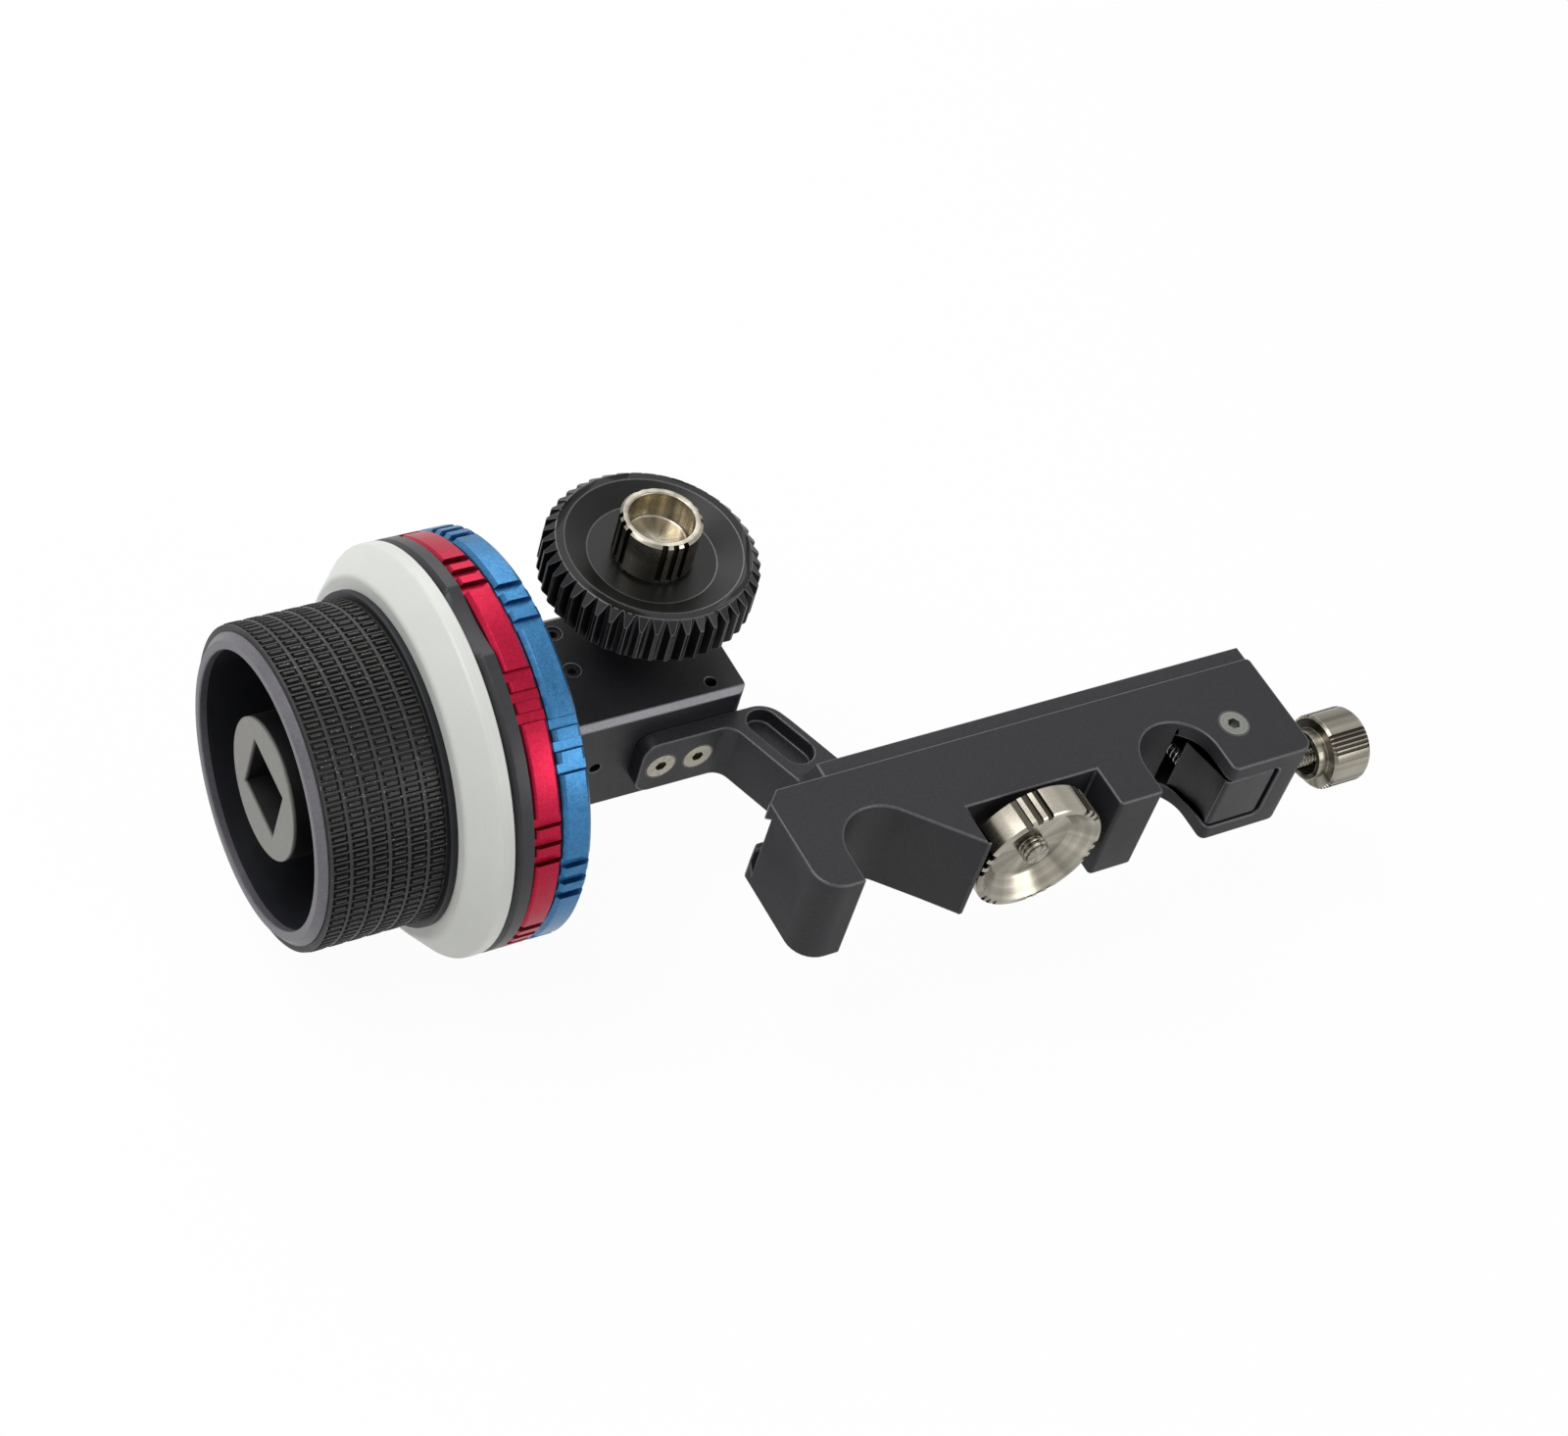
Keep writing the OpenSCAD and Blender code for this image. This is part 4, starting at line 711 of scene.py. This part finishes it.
# the gearbox's top-front bevel faces take a lighter tone: painted highlight
boxShape = {"edge": 0.15, "steps": 2, "highlightFacing": (0, -0.7071, 0.7071)}
bandHighlightLook = {"dark": "#646368", "light": "#77767b", "spark": "#98979c", "grain": 4200.0, "depth": 0.2,
            "rough": (0.34, 0.46), "sparkle": 0.3, "metal": 0.3}
gearLook = {"dark": "#080908", "light": "#0f100e", "spark": "#20211e", "lines": 2600.0, "depth": 0.12,
            "rough": (0.3, 0.44), "worn": 0.35, "metal": 0.0, "shine": 0.24}
gearShape = {"edge": 0.12, "steps": 2}

armFinish = blastedFinish("armFinish", armLook)
boxFinish = blastedFinish("boxFinish", boxLook)
paintedBandHighlight = blastedFinish("paintedBandHighlight", bandHighlightLook)
gearFinish = turnedFinish("gearFinish", gearLook, gearAxis)
softCopy("bracketArm", "bracket_arm", "carriage", [armFinish, paintedEdgeHighlight], armShape)
softCopy("gearboxBody", "gearbox_housing", "carriage", [boxFinish, paintedBandHighlight],
         boxShape)
softCopy("lensGear", "drive_gear", "lens_gear", [gearFinish, paintedEdgeHighlight], gearShape)
print("stage: arm, gearbox and lens gear")


redLook = {"dark": "#8e0526", "light": "#a50b30", "spark": "#d63a5e", "grain": 3600.0, "depth": 0.3,
           "rough": (0.3, 0.42), "sparkle": 0.22, "metal": 0.85, "blotch": 40.0}
blueLook = {"dark": "#1d5885", "light": "#276899", "spark": "#74add2", "grain": 3600.0, "depth": 0.3,
            "rough": (0.3, 0.42), "sparkle": 0.25, "metal": 0.8, "blotch": 40.0}
indexLook = {"dark": "#202023", "light": "#2a2a2d", "spark": "#4e4d51", "lines": 4000.0, "depth": 0.15,
             "rough": (0.34, 0.48), "worn": 0.3, "metal": 0.1, "shine": 0.35}
discLook = {"dark": "#d6d8d3", "light": "#dadcd7", "spark": "#cccec8", "lines": 2500.0, "depth": 0.01,
            "rough": (0.38, 0.5), "worn": 0.2, "metal": 0.0}

ringShape = {"length": 5.0, "bore": 24.06, "radius": 35.2, "bevel": 0.7, "grooveDepth": 0.9,
             "grooveWidth": 1.7, "groups": 9, "soft": 0.12, "innerSoft": 0.1, "grooveSoft": 0.08}
redShape = dict(ringShape, start=-57.11, first=-111, step=5.7)
blueShape = dict(ringShape, start=-51.9, first=-96, step=6)
indexShape = {"start": -60.36, "end": -57.26, "bore": 10.0, "radius": 35.2, "bevel": 1.0,
              "scoopDepth": 1.35, "scoopRadius": 38.0, "scoopAt": 185, "soft": 0.1, "backSoft": 0.08}
discShape = {"start": -67.3, "end": -60.6, "bore": 12.0, "flat": 30.8, "radius": 35.2, "edge": 2.3,
             "lip": 0.2, "faceSoft": 1.6, "rimSoft": 1.2, "soft": 0.1}

# darker copies of the ring colours for the groove walls: painted shade
redGrooveShadeLook = dict(redLook, dark="#4d0012", light="#66021b", spark="#8a1230")
blueGrooveShadeLook = dict(blueLook, dark="#0f3157", light="#164573", spark="#2d659c")
redFinish = [blastedFinish("redFinish", redLook), blastedFinish("redGrooveShade", redGrooveShadeLook)]
blueFinish = [blastedFinish("blueFinish", blueLook), blastedFinish("blueGrooveShade", blueGrooveShadeLook)]
indexFinish = turnedFinish("indexFinish", indexLook, handAxis)
discFinish = turnedFinish("discFinish", discLook, handAxis)


def buildStopRing(name, node, body, materials, s):
    # flat section with bevelled edges, and groups of three grooves in the rim
    a, b, r, e = s["start"], s["start"] + s["length"], s["radius"], s["bevel"]
    outline = [(a, s["bore"], s["innerSoft"]), (a, r - e, s["soft"]), (a + e, r, s["soft"]),
               (b - e, r, s["soft"]), (b, r - e, s["soft"]), (b, s["bore"], s["innerSoft"])]
    turnedPiece(name, easedLoop(outline), handAxis, body, materials, node, count=360,
                cut=grooved(s, s["grooveSoft"]), floors=False)


def buildIndexRing(s):
    # flat section with a bevelled front, scooped at the bottom
    a, b, r, e = s["start"], s["end"], s["radius"], s["bevel"]
    outline = [(a, s["bore"], s["soft"]), (a, r - e, s["soft"]), (a + e, r, s["soft"]),
               (b, r, s["backSoft"]), (b, s["bore"], s["soft"])]
    turnedPiece("indexRing", easedLoop(outline), handAxis, "carriage", [indexFinish],
                "index_ring", count=360, cut=scooped(s))


def buildDisc(s):
    # a flat face, a cone down to the rim, and a narrow rim
    a, b, r = s["start"], s["end"], s["radius"]
    outline = [(a, s["bore"], s["soft"]), (a, s["flat"], s["faceSoft"]), (b - s["edge"], r, s["rimSoft"]),
               (b - s["lip"], r, s["soft"]), (b, r - s["lip"], s["soft"]), (b, s["bore"], s["soft"])]
    turnedPiece("markingDisc", easedLoop(outline, 10), handAxis, "handwheel",
                [discFinish], "marking_disc", count=320)


buildStopRing("stopRingRed", "stop_ring_red", "red_ring", redFinish, redShape)
buildStopRing("stopRingBlue", "stop_ring_blue", "blue_ring", blueFinish, blueShape)
buildIndexRing(indexShape)
buildDisc(discShape)
print("stage: rings and disc")


coreLook = {"dark": "#0d0e12", "light": "#14151a", "spark": "#26272e", "lines": 3000.0, "depth": 0.15,
            "rough": (0.4, 0.55), "worn": 0.25, "metal": 0.0, "shine": 0.3}
rimLook = {"dark": "#56545a", "light": "#68666c", "spark": "#8d8b91", "grain": 5200.0, "depth": 0.3,
           "rough": (0.34, 0.48), "sparkle": 0.3, "metal": 0.4}
bossLook = {"dark": "#74736f", "light": "#84837f", "spark": "#a09f9b", "grain": 5200.0, "depth": 0.3,
            "rough": (0.4, 0.52), "sparkle": 0.3, "metal": 0.3, "deep": "#08080a", "from": -88.0,
            "to": -87.7}
# the groove colour is painted shade in the grip's grooves
gripLook = {"dark": "#0c0e0c", "light": "#161916", "spark": "#2c302c", "dust": "#a4a89c", "grain": 3400.0,
            "depth": 0.6, "dustScale": 4200.0, "dustShare": 0.07, "rough": (0.42, 0.62), "shine": 0.45,
            "groove": "#050505", "low": 26.8, "high": 27.15}

bossShape = {"edge": 0.25, "steps": 3}
coreShape = {"cup": 23.4, "floor": -75.5, "front": -88.4, "drum": 26.0, "shoulder": -68.6, "flange": 28.5,
             "back": -67.3, "boss": 12.0, "end": -60.66, "bore": 4.0, "floorSoft": 1.0,
             "flangeSoft": 0.25, "bossSoft": 0.3}
rimShape = {"front": -89.8, "back": -88.4, "inner": 23.4, "outer": 26.1, "innerBevel": 0.2,
            "outerBevel": 1.2, "soft": 0.08, "backSoft": 0.05}
gripShape = {"start": -88.4, "end": -68.6, "drum": 26.0, "skin": 26.75, "frame": 27.2, "bar": 27.4,
             "rows": 6, "cells": 102, "wall": 0.16, "barHalf": 0.2, "rowWall": 0.26, "cellSlope": 0.1,
             "rowSlope": 0.12, "barGap": 0.34, "slack": 0.005}

coreFinish = turnedFinish("coreFinish", coreLook, handAxis)
rimFinish = blastedFinish("rimFinish", rimLook)
bossFinish = blastedFinish("bossFinish", bossLook)
gripRubber = rubberFinish("gripRubber", gripLook, handAxis)


def buildCore(s):
    # cup, drum under the grip, flange behind it, and the boss that carries the disc
    outline = [(s["floor"], s["bore"], 0), (s["floor"], s["cup"], s["floorSoft"]),
               (s["front"], s["cup"], 0), (s["front"], s["drum"], 0), (s["shoulder"], s["drum"], 0),
               (s["shoulder"], s["flange"], s["flangeSoft"]), (s["back"], s["flange"], s["flangeSoft"]),
               (s["back"], s["boss"], s["bossSoft"]), (s["end"], s["boss"], 0), (s["end"], s["bore"], 0)]
    turnedPiece("wheelCore", easedLoop(outline), handAxis, "handwheel", [coreFinish],
                "handwheel_core")


def buildRim(s):
    # a ring with a small bevel inside and a wide one outside
    front, inner, outer, soft = s["front"], s["inner"], s["outer"], s["soft"]
    outline = [(s["back"], inner, 0), (front + s["innerBevel"], inner, soft),
               (front, inner + s["innerBevel"], soft), (front, outer - s["outerBevel"], soft),
               (front + s["outerBevel"], outer, soft), (s["back"], outer, s["backSoft"])]
    turnedPiece("rimRing", easedLoop(outline), handAxis, "handwheel", [rimFinish],
                "rim_ring", count=320)


def smoothStep(x):
    x = np.clip(x, 0, 1)
    return x * x * (3 - 2 * x)


def buildGrip(s):
    # Rows of cells round a drum: point (a, x) has the radius skin + rise, where rise is the wall height
    # near a cell's border and the bar height in a short bar along its middle, else nothing. wall and
    # rowWall are half a wall. The grid has lines at each slope's foot and top, and the slopes stay clear
    # of them by slack.
    span = (s["end"] - s["start"]) / s["rows"]
    pitch = tau * s["bar"] / s["cells"]
    cellFoot, rowFoot = s["wall"] + s["cellSlope"], s["rowWall"] + s["rowSlope"]
    barFoot = s["rowWall"] + s["barGap"]
    barTop = barFoot + s["rowSlope"]
    rowParts = np.array([0, s["rowWall"], rowFoot, barFoot, barTop,
                         span - barTop, span - barFoot, span - rowFoot, span - s["rowWall"]])
    middle, barWide = pitch / 2, s["barHalf"] + s["cellSlope"]
    cellParts = np.array([-s["wall"], s["wall"], cellFoot, middle - barWide, middle - s["barHalf"],
                          middle + s["barHalf"], middle + barWide, pitch - cellFoot])
    x = (s["start"] + np.arange(s["rows"])[:, None] * span + rowParts[None, :]).ravel()
    x = np.append(x, s["end"])
    arc = (np.arange(s["cells"])[:, None] * pitch + cellParts[None, :]).ravel()
    inRow = (x - s["start"]) % span
    inRow[-1] = 0
    edge = np.minimum(inRow, span - inRow)
    inCell = (arc + s["wall"]) % pitch - s["wall"]
    near = np.minimum(np.abs(inCell), np.abs(pitch - inCell))

    def slope(way, width):
        return smoothStep((way - s["slack"]) / (width - 2 * s["slack"]))

    wall = np.maximum(slope(rowFoot - edge, s["rowSlope"])[None, :],
                      slope(cellFoot - near, s["cellSlope"])[:, None])
    bar = (slope(barWide - np.abs(inCell - middle), s["cellSlope"])[:, None]
           * smoothStep((edge - barFoot + s["slack"]) / s["rowSlope"])[None, :])
    radius = s["skin"] + np.maximum((s["frame"] - s["skin"]) * wall, (s["bar"] - s["skin"]) * bar)
    angle = arc / s["bar"]
    # the skin closes over both ends and under the drum
    radius = np.hstack([np.full((len(arc), 1), s["drum"]), radius, np.full((len(arc), 1), s["drum"])])
    x = np.concatenate([[s["start"]], x, [s["end"]]])
    axis, u, v, at = axisFrame(handAxis)
    ring = np.cos(angle)[:, None, None] * u + np.sin(angle)[:, None, None] * v
    points = at + x[None, :, None] * axis + radius[:, :, None] * ring
    quads = gridQuads(len(angle), len(x), True, True)
    mesh = meshFrom("gripSkin", points.reshape(-1, 3) * mm, quads, sharp=50)
    addPiece("rubberGrip", mesh, "handwheel", [gripRubber], "rubber_grip")


buildCore(coreShape)
buildRim(rimShape)
buildGrip(gripShape)
softCopy("socketBoss", "socket_boss", "handwheel", [bossFinish], bossShape)
print("stage: handwheel")


pivotZinc = turnedFinish("pivotZinc", zincLook, pivotAxis)
# the screws take the satin look with fainter painted reflection fans
screwNickel = turnedFinish("screwNickel", dict(satinLook, share=0.3), bracketAxis)
plainSteel = turnedFinish("plainSteel", steelLook, handAxis)
blackSteel = turnedFinish("blackSteel", blackSteelLook, gearAxis)
bearingBronze = turnedFinish("bearingBronze", bronzeLook, handAxis)
sealRubber = rubberFinish("sealRubber", dict(gripLook, dustShare=0.02, low=0.0, high=1.0), handAxis)
neckFinish = turnedFinish("neckFinish", gearLook, gearAxis)

# the CAD nodes that are shown as they are, by finish
keptNodes = [(pivotZinc, ["jaw_pivot_screw"]), (screwNickel, ["bracket_screws"]),
             (blackSteel, ["gearbox_set_screws", "index_ring_screws", "marking_disc_screws"]),
             (plainSteel, ["socket_screw", "lock_jam_nut", "rail_screws", "input_shaft", "input_gear",
                           "output_shaft", "gear_washer"]),
             (bearingBronze, ["lock_shoe", "jaw_screw_pad", "input_bushes", "output_bushes",
                              "output_gear"]),
             (coreFinish, ["ring_hub"]), (sealRubber, ["ring_orings"]), (neckFinish, ["output_neck"]),
             (boxFinish, ["bottom_cap"])]
for finish, names in keptNodes:
    for name in names:
        node = nodes[name]
        if not node.material_slots:
            node.data.materials.append(finish)
        for held in node.material_slots:
            held.material = finish
print("stage: kept nodes finished")


studio = {"floorHeight": -36.9, "floorSize": 6000.0, "floorColour": "#f6f6f5", "shownFloor": 0.96,
          "fill": 0.22, "aim": (0, 25, 0)}
lamps = {"keyLamp": {"power": 4.2, "size": 0.5, "at": (-420, 120, 720)},
         "sideLamp": {"power": 2.0, "size": 0.4, "at": (380, -640, 380)},
         "backLamp": {"power": 2.4, "size": 0.6, "at": (60, 620, 520)}}
white = (1, 1, 1, 1)


def seenShare(tree):
    # 1 for rays from the camera and for what is seen in gloss or through glass
    path = put(tree, "ShaderNodeLightPath").outputs
    gloss = math2(tree, "ADD", path["Is Glossy Ray"], path["Is Transmission Ray"])
    return math2(tree, "ADD", path["Is Camera Ray"], gloss, clamp=True)


def addFloor(s):
    # a plain pale plane whose camera look is mostly its own white, so that the shadow stays faint
    half, z = s["floorSize"] / 2 * mm, s["floorHeight"] * mm
    mesh = bpy.data.meshes.new("floor")
    corners = [(-half, -half, z), (half, -half, z), (half, half, z), (-half, half, z)]
    mesh.from_pydata(corners, [], [(0, 1, 2, 3)])
    floor = addObject("floor", mesh)
    material = bpy.data.materials.new("paleFloor")
    tree = emptyTree(material)
    plain = put(tree, "ShaderNodeBsdfDiffuse", {"Color": tint(s["floorColour"])})
    glow = put(tree, "ShaderNodeEmission", {"Color": white, "Strength": 1.0})
    share = math2(tree, "MULTIPLY", seenShare(tree), s["shownFloor"])
    mixed = put(tree, "ShaderNodeMixShader", {0: share, 1: plain.outputs[0], 2: glow.outputs[0]})
    put(tree, "ShaderNodeOutputMaterial", {"Surface": mixed.outputs[0]})
    mesh.materials.append(material)


def addWorld(s):
    # faint fill light, seen as plain white
    world = bpy.data.worlds.new("studio")
    bpy.context.scene.world = world
    tree = emptyTree(world)
    fill = put(tree, "ShaderNodeBackground", {"Color": white, "Strength": s["fill"]})
    shown = put(tree, "ShaderNodeBackground", {"Color": white, "Strength": 1.0})
    mixed = put(tree, "ShaderNodeMixShader", {0: seenShare(tree), 1: fill.outputs[0],
                                              2: shown.outputs[0]})
    put(tree, "ShaderNodeOutputWorld", {"Surface": mixed.outputs[0]})


def addLamp(name, s, aim):
    data = bpy.data.lights.new(name, "AREA")
    data.shape = "SQUARE"
    data.size = s["size"]
    data.energy = s["power"]
    lamp = addObject(name, data)
    lamp.location = [c * mm for c in s["at"]]
    way = Vector([c * mm for c in aim]) - lamp.location
    lamp.rotation_euler = way.to_track_quat("-Z", "Y").to_euler()


addFloor(studio)
addWorld(studio)
for name, lamp in lamps.items():
    addLamp(name, lamp, studio["aim"])

cameraLook = {"at": (-253.04, -240.5, 403.52), "turn": (41.3747, -12.852, -28.5095), "lens": 73.718,
              "sensor": 36, "near": 10, "far": 20000}


def addCamera(s):
    data = bpy.data.cameras.new("camera")
    data.sensor_width = s["sensor"]
    data.sensor_fit = "HORIZONTAL"
    data.lens = s["lens"]
    data.clip_start = s["near"] * mm
    data.clip_end = s["far"] * mm
    camera = addObject("camera", data)
    camera.location = [c * mm for c in s["at"]]
    camera.rotation_euler = [math.radians(a) for a in s["turn"]]
    bpy.context.scene.camera = camera


addCamera(cameraLook)
bpy.context.scene.view_settings.view_transform = "Standard"
print("stage: studio and camera")
